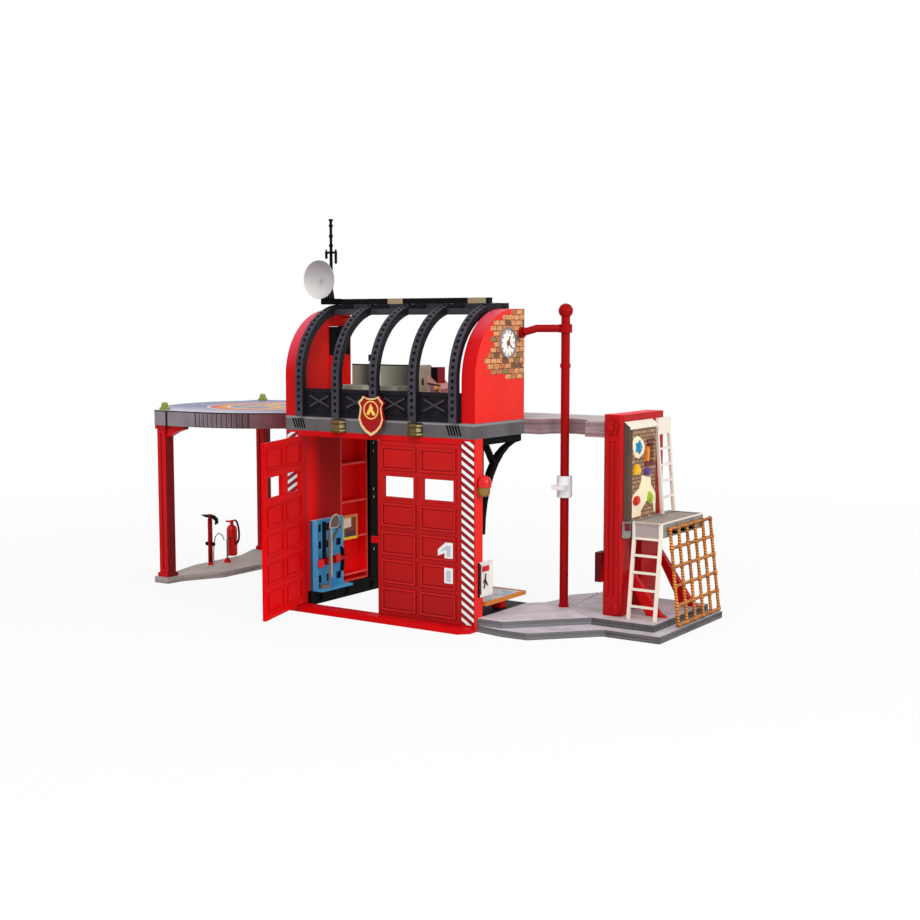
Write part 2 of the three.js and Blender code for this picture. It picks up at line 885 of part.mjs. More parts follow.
// Blue rack on the left wall
const rackBack = -sideWallInnerFace + seatGap;
const rackFace = rackBack + rackThickness;
const rackEnd = shelfUnitFront - seatGap * 2;
const rackPlate = block(rackBack, rackFace, rackStart, rackEnd, sideRailHeight, rackTop);
const rackFlange = block(
  rackBack, rackFace + rackSideFlange, rackStart, rackStart + rackFlangeThickness,
  sideRailHeight, rackTop,
);
const ledgeTop = sideRailHeight + rackLedgeThickness;
const rackLedge = block(
  rackBack, rackBack + rackLedgeReach, rackStart, rackEnd, sideRailHeight, ledgeTop,
);
const rackHoles = [];
const rackPitchY = (rackEnd - rackStart - rackFlangeThickness) / rackColumns;
const rackPitchZ = (rackTop - ledgeTop) / rackRows;
for (let column = 0; column < rackColumns; column += 1) {
  for (let row = 0; row < rackRows; row += 1) {
    const middleY = rackStart + rackFlangeThickness + rackPitchY * (column + 0.5);
    const middleZ = ledgeTop + rackPitchZ * (row + 0.5);
    rackHoles.push(block(
      rackFace - rackHoleDepth, rackFace + cutOverrun,
      middleY - rackHole / 2, middleY + rackHole / 2,
      middleZ - rackHole / 2, middleZ + rackHole / 2,
    ));
  }
}
const rackBody = joined([rackPlate, rackFlange, rackLedge]);
addPiece('tool_rack', rackBody.subtract(joined(rackHoles)), paleBlue, satin, 0);

const couplingX = rackFace + seatGap + couplingRadius;
const couplingStart = rackStart + rackFlangeThickness + seatGap;
const couplingEnd = rackEnd;
const couplingRun = couplingEnd - couplingStart;
const couplingRod = bar(
  [couplingX, couplingStart, couplingLevel], [couplingX, couplingEnd, couplingLevel],
  couplingRodRadius, smallSides,
);
const couplingDiscs = couplingShares.map((share) => {
  const middle = couplingStart + couplingRun * share;
  const start = [couplingX, middle - couplingWidth / 2, couplingLevel];
  const end = [couplingX, middle + couplingWidth / 2, couplingLevel];
  return bar(start, end, couplingRadius, smallSides);
});
addPiece('rack_coupling', joined([couplingRod, ...couplingDiscs]), red, satin, 0);

const hoseX = couplingX + couplingRadius + hoseClear + hoseRadius;
const hoseDishX = rackBack + rackLedgeReach - hoseDishRadius - seatGap;
const hoseDish = upright(
  hoseDishX, hosePlace - hoseDishRadius * hoseBackShare, ledgeTop, ledgeTop + hoseDishHeight,
  hoseDishRadius, roundSides,
);
const hoseRoute = [
  [hoseDishX + hoseDishRadius * hoseInShare, hosePlace, ledgeTop + fuseDepth],
  [hoseX, hosePlace, couplingLevel - couplingRadius * 2],
  [hoseX, hosePlace, couplingLevel + couplingRadius * 2],
  [hoseX, hosePlace, hoseRise],
  [hoseX - hoseClear, hosePlace + hoseReach / 2, hoseCrown],
  [hoseX - hoseClear, hosePlace + hoseReach, hoseRise + hoseReturn],
  [rackFace + seatGap + hoseRadius, hosePlace + hoseReach, hoseRise - hoseReturn],
];
const hoseTube = bentBar(hoseRoute, hoseRadius, 22, 8);
addPiece('rack_hose', joined([hoseDish, hoseTube]), 0x77736e, satin, 0);

// Arched bracket under the floor on the open side
const bracketStart = pillarDepth + seatGap;
const bracketEnd = bracketStart + bracketReach;
const bracketSpan = floorUnderside - bracketFoot;
const bracketLower = arcPoints(0, 0, 1, Math.PI, Math.PI / 2, 9).map(([u, v]) => [
  bracketStart + bracketArm + (u + 1) * (bracketReach - bracketArm),
  bracketFoot + v * (bracketSpan - bracketBar),
]);
const bracketOutline = [
  [bracketStart, floorUnderside], [bracketStart, bracketFoot],
  ...bracketLower, [bracketEnd, floorUnderside],
];
const bracketPlate = prism(
  'x', bracketOutline, bracketInnerFace, bracketInnerFace + bracketThickness,
);
const hollowTop = floorUnderside - bracketBar;
const hollowLeft = bracketStart + bracketBar / 2;
const hollowCurve = arcPoints(0, 0, 1, Math.PI, Math.PI / 2, 9).map(([u, v]) => [
  hollowLeft + (u + 1) * (bracketReach - bracketArm * 2),
  bracketFoot + bracketArm * 2 + v * (hollowTop - bracketFoot - bracketArm * 2),
]);
const bracketHollow = prism(
  'x', [[hollowLeft, hollowTop], ...hollowCurve],
  bracketInnerFace - cutOverrun, bracketInnerFace + bracketThickness + cutOverrun,
);
const strutTop = bracketStart + bracketReach / 8;
const strutFoot = bracketStart + bracketReach / 3;
const strutDrop = hollowTop - bracketBar * 3;
const bracketStrut = prism(
  'x',
  [
    [strutTop, hollowTop + fuseDepth], [strutFoot, strutDrop],
    [strutFoot + bracketStrutWidth, strutDrop],
    [strutTop + bracketStrutWidth, hollowTop + fuseDepth],
  ],
  bracketInnerFace, bracketInnerFace + bracketThickness,
);
const bracket = bracketPlate.subtract(bracketHollow).add(bracketStrut);
addPiece('arch_bracket', bracket, charcoal, satin, 0);

// Alarm lamp on the outer side of the right pillar
const alarmX = halfWidth + alarmOffset;
const alarmY = pillarDepth / 2;
const alarmBaseTop = alarmBaseBottom + alarmBaseHeight;
const alarmCup = turned(
  [
    [0, 0], [alarmBaseRadius * 0.7, 0], [alarmBaseRadius, alarmBaseHeight * 0.3],
    [alarmBaseRadius, alarmBaseHeight], [0, alarmBaseHeight],
  ],
  alarmX, alarmY, alarmBaseBottom, roundSides,
);
const alarmStem = block(
  halfWidth, alarmX, alarmY - alarmStemHeight / 2, alarmY + alarmStemHeight / 2,
  alarmBaseTop - alarmStemHeight - fuseDepth, alarmBaseTop - fuseDepth,
);
addPiece('alarm_base', joined([alarmCup, alarmStem]), gold, 0.3, 0.7);
const domeProfile = [[0, 0], [alarmDomeRadius, 0]];
for (const step of [0.45, 0.66, 0.84, 0.96]) {
  const lean = Math.sqrt(1 - ((step - 0.45) / 0.55) ** 2);
  domeProfile.push([alarmDomeRadius * lean * 0.96, alarmDomeHeight * step]);
}
domeProfile.push([0, alarmDomeHeight]);
const dome = turned(domeProfile, alarmX + seatGap, alarmY, alarmBaseTop, roundSides);
const domeTrim = block(
  halfWidth - alarmDomeRadius, halfWidth, 0, alarmDomeRadius * 2,
  alarmBaseTop - cutOverrun, alarmBaseTop + alarmDomeHeight + cutOverrun,
);
addPiece('alarm_dome', dome.subtract(domeTrim), 0xd81a1e, 0.2, 0);

// Notice board beside it
const boardTop = boardBottom + boardHeight;
const boardEnd = boardStart + boardWidth;
const boardFace = halfWidth + boardThickness;
const boardPlate = block(halfWidth, boardFace, boardStart, boardEnd, boardBottom, boardTop);
const boardField = block(
  boardFace - boardSink, boardFace + cutOverrun, boardStart + boardBorder,
  boardEnd - boardBorder, boardBottom + boardBorder, boardTop - boardBorder,
);
addPiece('notice_board', boardPlate.subtract(boardField), charcoal, satin, 0);

// Table on its dark base
const tableBase = block(
  tableBaseLeft, halfWidth, tableBaseFront, tableBaseBack, 0, platformHeight,
);
addPiece('table_base', tableBase, 0x4a484c, satin, 0);
const tableTop = tableUnderside + tableThickness;
const tablePlate = block(
  tableLeft, tableRight, tableFront, tableBack, tableUnderside, tableTop,
);
const tableField = block(
  tableLeft + tableEdge, tableRight - tableEdge, tableFront + tableEdge, tableBack - tableEdge,
  tableTop - tableEdgeSink, tableTop + cutOverrun,
);
const pedestalSpread = spread(
  pedestalShares, tableLeft, tableRight - tableLeft, tableFront, tableBack - tableFront,
);
const pedestals = pedestalSpread.map(([x, y]) => block(
  x - pedestalWidth / 2, x + pedestalWidth / 2, y - pedestalWidth / 2, y + pedestalWidth / 2,
  platformHeight, tableUnderside + fuseDepth,
));
addPiece('table', tablePlate.subtract(tableField).add(joined(pedestals)), 0xc87d32, satin, 0);

// Upper floor slab with lamp niches, vents and a ribbed underside
const slab = block(-halfWidth, halfWidth, 0, houseDepth, floorUnderside, floorTop);
const slabCuts = [-1, 1].map((side) => upright(
  side * ribSpacing, 0, floorUnderside - cutOverrun, floorTop - parapetLedge / 2,
  nicheRadius, roundSides,
));
const ventPitch = ventWidth / ventSlotCount;
for (const side of [-1, 1]) {
  const ventEnd = halfWidth - ventEdgeInset;
  const ventStart = side > 0 ? ventEnd - ventWidth - ventMargin * 3 : -ventEnd;
  for (let slot = 0; slot < ventSlotCount; slot += 1) {
    const x = ventStart + ventPitch * (slot + 0.5);
    const half = ventSlotWidth / 2;
    const low = floorUnderside + ventMargin;
    const high = floorTop - ventMargin;
    const outline = [
      [x - half + ventSlant, low], [x + half + ventSlant, low],
      [x + half - ventSlant, high], [x - half - ventSlant, high],
    ];
    slabCuts.push(prism('y', outline, -cutOverrun, ventDepth));
  }
}
const pocketInner = halfWidth - pocketRim;
for (const side of [-1, 1]) {
  const edge = side * pocketInner;
  const rib = side * pocketRib;
  slabCuts.push(block(
    Math.min(edge, rib), Math.max(edge, rib), pocketRim, houseDepth - pocketBackRim,
    floorUnderside - cutOverrun, floorTop - pocketRoof,
  ));
}
addPiece('upper_floor', slab.subtract(joined(slabCuts)), bandGrey, satin, 0);

for (const [name, side] of [['band_lamp_left', -1], ['band_lamp_right', 1]]) {
  const top = floorTop - parapetLedge / 2 - seatGap - floorUnderside;
  const radius = nicheRadius - seatGap;
  const waist = radius - lampFlange;
  const profile = [
    [0, 0], [waist, 0], [radius, lampFlange], [radius, lampFlange * 2], [waist, lampFlange * 3],
    [waist, top - lampFlange * 3], [radius, top - lampFlange * 2], [radius, top - lampFlange],
    [waist, top], [0, top],
  ];
  const lamp = turned(profile, side * ribSpacing, 0, floorUnderside, roundSides);
  addPiece(name, lamp, 0x6e5326, 0.35, 0.6);
}

// End walls of the vault, the left one with a doorway
function endWallSolid(from, to) {
  const arc = arcPoints(
    vaultRadius, vaultCentre, vaultRadius, Math.PI, Math.PI / 2, vaultSegments,
  );
  const outline = [[0, floorTop], ...arc, [houseDepth, vaultTop], [houseDepth, floorTop]];
  return prism('x', outline, from, to);
}
const leftWall = endWallSolid(-halfWidth, -endWallInnerFace);
const doorwayTop = floorTop + doorwayHeight;
const doorwayCut = block(
  -halfWidth - cutOverrun, -endWallInnerFace + cutOverrun, doorwayFront, doorwayBack,
  floorTop - cutOverrun, doorwayTop,
);
addPiece('left_end_wall', leftWall.subtract(doorwayCut), red, glossy, 0);
addPiece('right_end_wall', endWallSolid(endWallInnerFace, halfWidth), red, glossy, 0);
const jambBody = block(
  -halfWidth, -endWallInnerFace + doorwayProud, doorwayFront + seatGap,
  doorwayBack - seatGap, floorTop, doorwayTop - seatGap,
);
const jambOpening = block(
  -halfWidth - cutOverrun, -endWallInnerFace + doorwayProud + cutOverrun,
  doorwayFront + doorwayFrontStrip, doorwayBack - doorwayBackStrip,
  floorTop - cutOverrun, doorwayTop - doorwayHead,
);
addPiece('doorway_frame', jambBody.subtract(jambOpening), charcoal, satin, 0);

// Roof frame: five ribs joined by the ridge and the rear beam
function ribSection(outer, inner, foot, end, left, right) {
  const arcOut = arcPoints(
    vaultRadius, vaultCentre, outer, Math.PI, Math.PI / 2, vaultSegments,
  );
  const arcIn = arcPoints(
    vaultRadius, vaultCentre, inner, Math.PI / 2, Math.PI, vaultSegments,
  );
  const outline = [
    [vaultRadius - outer, foot], ...arcOut, [end, vaultCentre + outer],
    [end, vaultCentre + inner], ...arcIn, [vaultRadius - inner, foot],
  ];
  return prism('x', outline, left, right);
}
const parapetTop = floorTop + parapetHeight;
const ribs = [];
for (let index = 0; index < ribCount; index += 1) {
  const x = (index - (ribCount - 1) / 2) * ribSpacing;
  const half = ribWidth / 2;
  const webHalf = ribWebWidth / 2;
  ribs.push(ribSection(ribOuter, vaultRadius, floorTop, ribEnd, x - half, x + half));
  ribs.push(ribSection(
    vaultRadius + fuseDepth, vaultRadius - ribWebDepth, parapetTop + seatGap, ribEnd,
    x - webHalf, x + webHalf,
  ));
}
const frameSide = endWallInnerFace - seatGap;
const ridgeTop = vaultCentre + vaultRadius;
const ridge = block(
  -frameSide, frameSide, ridgeFront, ridgeBack, ridgeTop - ridgeThickness, ridgeTop + fuseDepth,
);
const rearBeam = block(
  -frameSide, frameSide, ribEnd - rearBeamDepth, ribEnd,
  ridgeTop - ridgeThickness / 2, ridgeTop + ribProud,
);
addPiece('roof_frame', joined([...ribs, ridge, rearBeam]), charcoal, satin, 0);

// Parapet with a raised cross in each bay
const parapetBody = block(-frameSide, frameSide, 0, parapetThickness, floorTop, parapetTop);
const parapetCap = block(
  -frameSide, frameSide, 0, parapetThickness + parapetLedge,
  parapetTop - parapetRail, parapetTop,
);
const crosses = [];
for (let bay = 0; bay < ribCount - 1; bay += 1) {
  const middle = (bay - (ribCount - 2) / 2) * ribSpacing;
  const reach = (ribSpacing - ribWidth) / 2 - seatGap;
  const low = floorTop + crossMargin;
  const high = parapetTop - crossMargin;
  for (const side of [-1, 1]) {
    const start = middle - side * (reach - crossMargin);
    const end = middle + side * (reach - crossMargin);
    const outline = [
      [start, low], [start + side * crossBar, low], [end, high], [end - side * crossBar, high],
    ];
    const drawn = side > 0 ? outline : outline.slice().reverse();
    crosses.push(prism('y', drawn, -crossRelief, fuseDepth));
  }
  for (const level of [floorTop, parapetTop - parapetRail]) {
    crosses.push(block(
      middle - reach, middle + reach, -crossRelief, fuseDepth, level, level + parapetRail,
    ));
  }
}
addPiece('parapet', joined([parapetBody, parapetCap, ...crosses]), charcoal, satin, 0);

// Rail along the ridge
const railBack = railFront + railDepth;
const railRise = Math.sqrt(ribOuter ** 2 - (vaultRadius - railBack) ** 2);
const railBottom = vaultCentre + railRise + seatGap;
const railTop = railBottom + railHeight;
const railBody = block(-railLeft, railRight, railFront, railBack, railBottom, railTop);
const railMiddle = (railFront + railBack) / 2;
const railSlot = block(
  -railLeft - cutOverrun, railRight + cutOverrun, railMiddle - railGroove / 2,
  railMiddle + railGroove / 2, railTop - railGrooveDepth, railTop + cutOverrun,
);
addPiece('roof_rail', railBody.subtract(railSlot), charcoal, satin, 0);

// Shield with a raised rim
function shieldOutline(inset) {
  const width = shieldHalfWidth - inset;
  const height = shieldHeight - inset * 2.6;
  const bottom = shieldBottom + inset * 1.6;
  const side = shieldOutlineShares.map(([u, v]) => [u * width, bottom + v * height]);
  const mirrored = side.slice(1, -1).reverse().map(([x, z]) => [-x, z]);
  return [...side, ...mirrored].reverse();
}
const shieldBack = -ribProud;
const shieldPlate = prism('y', shieldOutline(0), shieldBack - shieldThickness, shieldBack);
const shieldField = prism(
  'y', shieldOutline(shieldRim), shieldBack - shieldThickness - cutOverrun,
  shieldBack - shieldThickness + shieldSink,
);
addPiece('shield', shieldPlate.subtract(shieldField), red, glossy, 0);

// Clock on the right end wall
const clockPlace = houseDepth - clockInset;
const clockLevel = vaultCentre + clockRise;
const clockFace = halfWidth + clockThickness;
const clockBody = bar(
  [halfWidth, clockPlace, clockLevel], [clockFace, clockPlace, clockLevel],
  clockRadius, roundSides,
);
const clockField = bar(
  [clockFace - clockSink, clockPlace, clockLevel], [clockFace + cutOverrun, clockPlace, clockLevel],
  clockRadius - clockRim, roundSides,
);
addPiece('clock', clockBody.subtract(clockField), stoneGrey, satin, 0);

// Control desk with its curved screens
const deskTop = floorTop + deskHeight;
const deskPlate = block(
  deskLeft, deskRight, deskFront, deskBack, deskTop - deskTopThickness, deskTop,
);
const deskBody = block(
  deskLeft + deskLegInset, deskRight - deskLegInset, deskFront + deskLegInset,
  deskBack - deskLegInset, floorTop, deskTop - deskTopThickness + fuseDepth,
);
function screenOutline(left, right, shift) {
  const points = [];
  for (let i = 0; i <= screenSegments; i += 1) {
    const share = (i / screenSegments) * 2 - 1;
    const x = left + ((right - left) * i) / screenSegments;
    points.push([x, screenBack - screenSag * (1 - share * share) - shift]);
  }
  return points;
}
const deskWidth = deskRight - deskLeft;
const screens = screenSpanShares.map(([from, to]) => {
  const left = deskLeft + deskWidth * from;
  const right = deskLeft + deskWidth * to;
  const back = screenOutline(left, right, 0);
  const front = screenOutline(left, right, screenThickness);
  const outline = [...front, ...back.reverse()];
  return prism('z', outline, deskTop - fuseDepth, deskTop + screenHeight);
});
addPiece('console_desk', joined([deskPlate, deskBody, ...screens]), 0x82807a, satin, 0);

const micFoot = upright(
  micPlace, micDepth, deskTop, deskTop + micFootHeight, micFootRadius, smallSides,
);
const micStalk = upright(
  micPlace, micDepth, deskTop + fuseDepth, deskTop + micRise - micHeadHeight / 2,
  micStalkRadius, smallSides,
);
const micTop = deskTop + micRise;
const micHead = upright(
  micPlace, micDepth, micTop - micHeadHeight, micTop, micHeadRadius, smallSides,
);
addPiece('microphone', joined([micFoot, micStalk, micHead]), charcoal, satin, 0);

// Sloped cabinet and the radio on its slope
const cabinetOutline = [
  [cabinetLeft, floorTop], [cabinetRight, floorTop], [cabinetRight, floorTop + cabinetLow],
  [cabinetShelf, floorTop + cabinetTop], [cabinetLeft, floorTop + cabinetTop],
];
const cabinet = prism('y', cabinetOutline, cabinetFront, cabinetBack);
addPiece('sloped_cabinet', cabinet, 0xc8968a, satin, 0);
const slopeAt = (x) => {
  const share = (x - cabinetShelf) / (cabinetRight - cabinetShelf);
  return floorTop + cabinetTop + (cabinetLow - cabinetTop) * share;
};
const radioRight = radioLeft + radioWidth;
const radioOutline = [
  [radioLeft, slopeAt(radioLeft) + seatGap], [radioRight, slopeAt(radioRight) + seatGap],
  [radioRight, floorTop + radioTop], [radioLeft, floorTop + radioTop],
];
const radio = prism('y', radioOutline, radioFront, radioFront + radioDepth);
addPiece('radio_box', radio, 0x3a2326, satin, 0);

// Bell on the inside of the left end wall
const bellX = -endWallInnerFace + bellReach;
const bellPlace = houseDepth - bellInset;
const bellTop = vaultTop - bellDrop;
const bellShell = turned(
  [
    [0, bellHeight - bellStem], [bellRadius * 0.62, bellHeight * 0.16],
    [bellRadius * 0.8, 0], [bellRadius, 0], [bellRadius * 0.84, bellHeight * 0.3],
    [bellRadius * 0.6, bellHeight * 0.8], [bellRadius * 0.3, bellHeight], [0, bellHeight],
  ],
  bellX, bellPlace, bellTop - bellHeight, roundSides,
);
const bellArm = block(
  -endWallInnerFace, bellX + bellStem, bellPlace - bellStem, bellPlace + bellStem,
  bellTop - fuseDepth, bellTop + bellStem,
);
addPiece('bell', joined([bellShell, bellArm]), gold, 0.3, 0.8);

// Mast on its base block
const mastBaseBottom = railBottom;
const mastBaseTop = mastBaseBottom + mastBaseHeight;
const mastPlace = mastInset - halfWidth;
const crossbarLevel = mastBaseTop + mastHeight * crossbarShare;
const mastBase = block(
  mastBaseInset - halfWidth, -railLeft - seatGap, mastBaseFront, mastBaseBack, mastBaseBottom, mastBaseTop,
);
const mastFoot = upright(
  mastPlace, mastDepth, mastBaseTop - fuseDepth, mastBaseTop + mastFootHeight,
  mastFootRadius, smallSides,
);
const mastRod = turned(
  [[0, 0], [mastRadius, 0], [mastTipRadius, mastHeight], [0, mastHeight]],
  mastPlace, mastDepth, mastBaseTop, smallSides,
);
const crossbar = bar(
  [mastPlace - crossbarReach, mastDepth, crossbarLevel],
  [mastPlace + crossbarReach, mastDepth, crossbarLevel], crossbarRadius, smallSides,
);
const whips = [-1, 1].map((side) => {
  const x = mastPlace + side * (crossbarReach - crossbarRadius);
  const low = crossbarLevel - whipDrop;
  return upright(x, mastDepth, low, low + whipHeight, crossbarRadius, smallSides);
});
addPiece('antenna_mast', joined([mastBase, mastFoot, mastRod, crossbar, ...whips]), charcoal, satin, 0);

// Dish on a fork; its pin turns in the ears
const dishPlace = dishInset - halfWidth;
const dishPivotLevel = mastBaseTop + dishPivotRise;
const earGap = dishBossHalf + seatGap;
const earOuter = earGap + earThickness;
const armFoot = block(
  dishPlace - earOuter, dishPlace + earOuter, dishPivotDepth - earDepth / 2,
  dishPivotDepth + earDepth / 2, mastBaseTop, mastBaseTop + armFootThickness,
);
const earTop = dishPivotLevel + earDepth / 2;
const ears = [-1, 1].map((side) => {
  const inner = dishPlace + side * earGap;
  const outer = dishPlace + side * earOuter;
  return block(
    Math.min(inner, outer), Math.max(inner, outer), dishPivotDepth - earDepth / 2,
    dishPivotDepth + earDepth / 2, mastBaseTop, earTop,
  );
});
const earReach = earOuter + cutOverrun;
const earHole = bar(
  [dishPlace - earReach, dishPivotDepth, dishPivotLevel],
  [dishPlace + earReach, dishPivotDepth, dishPivotLevel],
  dishPinRadius + dishPinPlay, roundSides,
);
addPiece('dish_arm', joined([armFoot, ...ears]).subtract(earHole), charcoal, satin, 0);

const dishProfile = [];
for (let ring = 0; ring <= dishRings; ring += 1) {
  const radius = (dishRadius * ring) / dishRings;
  dishProfile.push([radius, -dishHollow * (1 - (ring / dishRings) ** 2)]);
}
for (let ring = dishRings; ring >= 0; ring -= 1) {
  const radius = (dishRadius * ring) / dishRings;
  dishProfile.push([radius, -dishHollow * (1 - (ring / dishRings) ** 2) - dishThickness]);
}
const dishShell = new THREE.LatheGeometry(
  dishProfile.reverse().map(([radius, height]) => new THREE.Vector2(radius, height)), dishSides,
);
const dishRimDepth = dishPivotDepth - dishRimReach;
dishShell.rotateX(Math.PI);
dishShell.translate(dishPlace, dishRimDepth, dishPivotLevel);
const dishApex = dishRimDepth + dishHollow;
const dishBoss = block(
  dishPlace - dishBossHalf, dishPlace + dishBossHalf, dishApex + fuseDepth,
  dishPivotDepth + dishPinRadius, dishPivotLevel - dishBossHalf, dishPivotLevel + dishBossHalf,
);
const dishPin = bar(
  [dishPlace - earOuter, dishPivotDepth, dishPivotLevel],
  [dishPlace + earOuter, dishPivotDepth, dishPivotLevel], dishPinRadius, roundSides,
);
const feed = bar(
  [dishPlace, dishApex + fuseDepth, dishPivotLevel],
  [dishPlace, dishApex - feedLength, dishPivotLevel], feedRadius, smallSides,
);
addPiece('dish', joined([solidOf(dishShell), dishBoss, dishPin, feed]), 0xd6d2d0, satin, 0);

// Slide pole with its collar and ball
const collarLevel = floorTop + collarRise;
const ballLevel = vaultCentre + ballRise;
const poleProfile = [
  [0, 0], [poleFlangeRadius, 0], [poleFlangeRadius, poleFlangeHeight],
  [poleRadius, poleFlangeHeight], [poleRadius, collarLevel - platformHeight],
  [collarRadius, collarLevel - platformHeight],
  [collarRadius, collarLevel + collarHeight - platformHeight],
  [poleRadius, collarLevel + collarHeight - platformHeight],
];
const ballStart = Math.asin(poleRadius / ballRadius);
for (let step = 0; step <= 8; step += 1) {
  const angle = ballStart + ((Math.PI - ballStart) * step) / 8;
  const radius = step === 8 ? 0 : Math.sin(angle) * ballRadius;
  poleProfile.push([radius, ballLevel - platformHeight - Math.cos(angle) * ballRadius]);
}
const pole = turned(poleProfile, poleX, poleY, platformHeight, roundSides);
addPiece('slide_pole', pole, red, glossy, 0);

// Arm from the right end wall to a ring round the pole
const armFlangePlace = houseDepth - armFlangeInset;
const armFlangeLevel = vaultCentre + armFlangeRise;
const armBendX = halfWidth + armBendReach;
const armBendY = houseDepth + armBendSetback;
const armBendLevel = vaultCentre + armBendRise;
const armFlange = bar(
  [halfWidth, armFlangePlace, armFlangeLevel],
  [halfWidth + armFlangeThickness, armFlangePlace, armFlangeLevel], armFlangeRadius, roundSides,
);
const armElbow = [armBendX, armBendY, armBendLevel];
const armStart = [halfWidth + armFlangeThickness, armFlangePlace, armFlangeLevel];
const armReach = [poleX - poleRadius, poleY - poleRadius / 2, armBendLevel];
const armElbowBall = turned(
  arcPoints(0, 0, armRadius, -Math.PI / 2, Math.PI / 2, 6).map(
    ([radius, height], index) => [index === 0 || index === 6 ? 0 : radius, height],
  ),
  armBendX, armBendY, armBendLevel, smallSides,
);
const armBars = [
  bar(armStart, armElbow, armRadius, smallSides), bar(armElbow, armReach, armRadius, smallSides),
];
const armRing = upright(
  poleX, poleY, armBendLevel - ringHeight / 2, armBendLevel + ringHeight / 2,
  ringRadius, roundSides,
);
const armHole = upright(
  poleX, poleY, armBendLevel - ringHeight, armBendLevel + ringHeight,
  poleRadius + clipPlay, roundSides,
);
const poleArm = joined([armFlange, armElbowBall, ...armBars, armRing]).subtract(armHole);
addPiece('pole_arm', poleArm, red, glossy, 0);

// Clip that slides on the pole
const clipRing = upright(
  poleX, poleY, clipBottom, clipBottom + clipHeight, clipRadius, roundSides,
);
const clipGrip = block(
  poleX - clipGripWidth / 2, poleX + clipGripWidth / 2, poleY - clipGripReach, poleY,
  clipBottom + clipHeight / 2 - clipGripHeight / 2,
  clipBottom + clipHeight / 2 + clipGripHeight / 2,
);
const clipHole = upright(
  poleX, poleY, clipBottom - cutOverrun, clipBottom + clipHeight + cutOverrun,
  poleRadius + clipPlay, roundSides,
);
addPiece('pole_slider', joined([clipRing, clipGrip]).subtract(clipHole), white, satin, 0);

// Rear deck behind the building, notched round the pole
const deckFront = houseDepth + seatGap;
const deckRightEnd = columnLeft - seatGap;
const deckBeamEnd = beamLeft - seatGap;
const deckNotchX = poleX + deckNotchShift;
const deckOutline = [
  [-halfWidth, deckFront], [deckRightEnd, deckFront], [deckRightEnd, columnBack + seatGap],
  [deckBeamEnd, columnBack + seatGap], [deckBeamEnd, deckBack], [-halfWidth, deckBack],
];
const deckPlate = prism('z', deckOutline, floorUnderside, floorTop);
const deckCuts = [upright(
  deckNotchX, deckFront, floorUnderside - cutOverrun, floorTop + cutOverrun,
  deckNotchRadius, roundSides,
)];
const deckPocketStart = -halfWidth + pocketRim;
const deckPocketRun = deckNotchX - deckNotchRadius - deckPocketRim - deckPocketStart;
for (let index = 0; index < deckPocketCount; index += 1) {
  const start = deckPocketStart + (deckPocketRun * index) / deckPocketCount;
  const end = start + deckPocketRun / deckPocketCount - pocketRib;
  deckCuts.push(block(
    start, end, rearPostBack + seatGap, deckBack - deckPocketRim,
    floorUnderside - cutOverrun, floorTop - pocketRoof,
  ));
}
addPiece('rear_deck', deckPlate.subtract(joined(deckCuts)), bandGrey, satin, 0);

// Ground platforms
const groundX = halfWidth + seatGap;
const [platformOutline, lowStepOutline, towerBaseOutline, towerStepOutline] = [
  platformShares, lowStepShares, towerBaseShares, towerStepShares,
].map((shares) => spread(shares, groundX, groundWidth, 0, groundDepth));
const poleSide = joined([
  prism('z', platformOutline, 0, platformHeight), prism('z', lowStepOutline, 0, stepHeight),
]);
addPiece('pole_platform', poleSide, stoneGrey, satin, 0);
const towerSide = joined([
  prism('z', towerBaseOutline, 0, platformHeight), prism('z', towerStepOutline, 0, stepHeight),
]);
addPiece('tower_base', towerSide, stoneGrey, satin, 0);

// Tower frame: grooved column, top beam, rear leg and side lug
const columnOutline = [
  [columnLeft + columnChamfer, columnFront], [columnRight - columnChamfer, columnFront],
  [columnRight, columnFront + columnChamfer], [columnRight, columnBack],
  [columnLeft, columnBack], [columnLeft, columnFront + columnChamfer],
];
const column = prism('z', columnOutline, platformHeight, towerTop);
const columnCuts = [];
const groovePitch = (columnRight - columnLeft - columnChamfer * 2) / (columnGrooves + 1);
for (let index = 1; index <= columnGrooves; index += 1) {
  const x = columnLeft + columnChamfer + groovePitch * index;
  columnCuts.push(block(
    x - columnGrooveWidth / 2, x + columnGrooveWidth / 2, columnFront - cutOverrun,
    columnFront + columnGrooveDepth, platformHeight + columnBack - columnFront,
    floorUnderside - columnChamfer,
  ));
}
const beamFront = columnBack - fuseDepth;
const topBeam = block(
  beamLeft, beamRight, beamFront, rearLegBack, towerTop - beamHeight, towerTop,
);
const rearLeg = block(
  beamLeft, beamRight, rearLegFront, rearLegBack, rearFootTop - fuseDepth,
  towerTop - beamHeight + fuseDepth,
);
const rearFoot = block(
  beamLeft, beamRight, rearFootFront, rearFootBack, platformHeight, rearFootTop,
);
const lug = block(
  columnLeft - lugReach, columnLeft + fuseDepth, columnFront - columnChamfer,
  columnFront - columnChamfer + lugDepth, lugBottom, lugBottom + lugHeight,
);
const starX = (columnLeft + columnRight) / 2;
const starOutline = [];
for (let index = 0; index < starPoints * 2; index += 1) {
  const angle = (Math.PI * (index + 0.5)) / starPoints;
  const radius = index % 2 === 0 ? starRadius : starRadius * starNotchShare;
  starOutline.push([starX + Math.cos(angle) * radius, starLevel + Math.sin(angle) * radius]);
}
const starBoss = bar(
  [starX, columnFront - starDepth * 2, starLevel], [starX, columnFront + fuseDepth, starLevel],
  starRadius * starBossShare, smallSides,
);
const star = prism('y', starOutline, columnFront - starDepth, columnFront + fuseDepth).add(starBoss);
const knob = bar(
  [columnRight - columnChamfer * 2, columnFront - starDepth, platformHeight + knobHeight],
  [columnRight - columnChamfer * 2, columnFront + fuseDepth, platformHeight + knobHeight],
  knobRadius, smallSides,
);
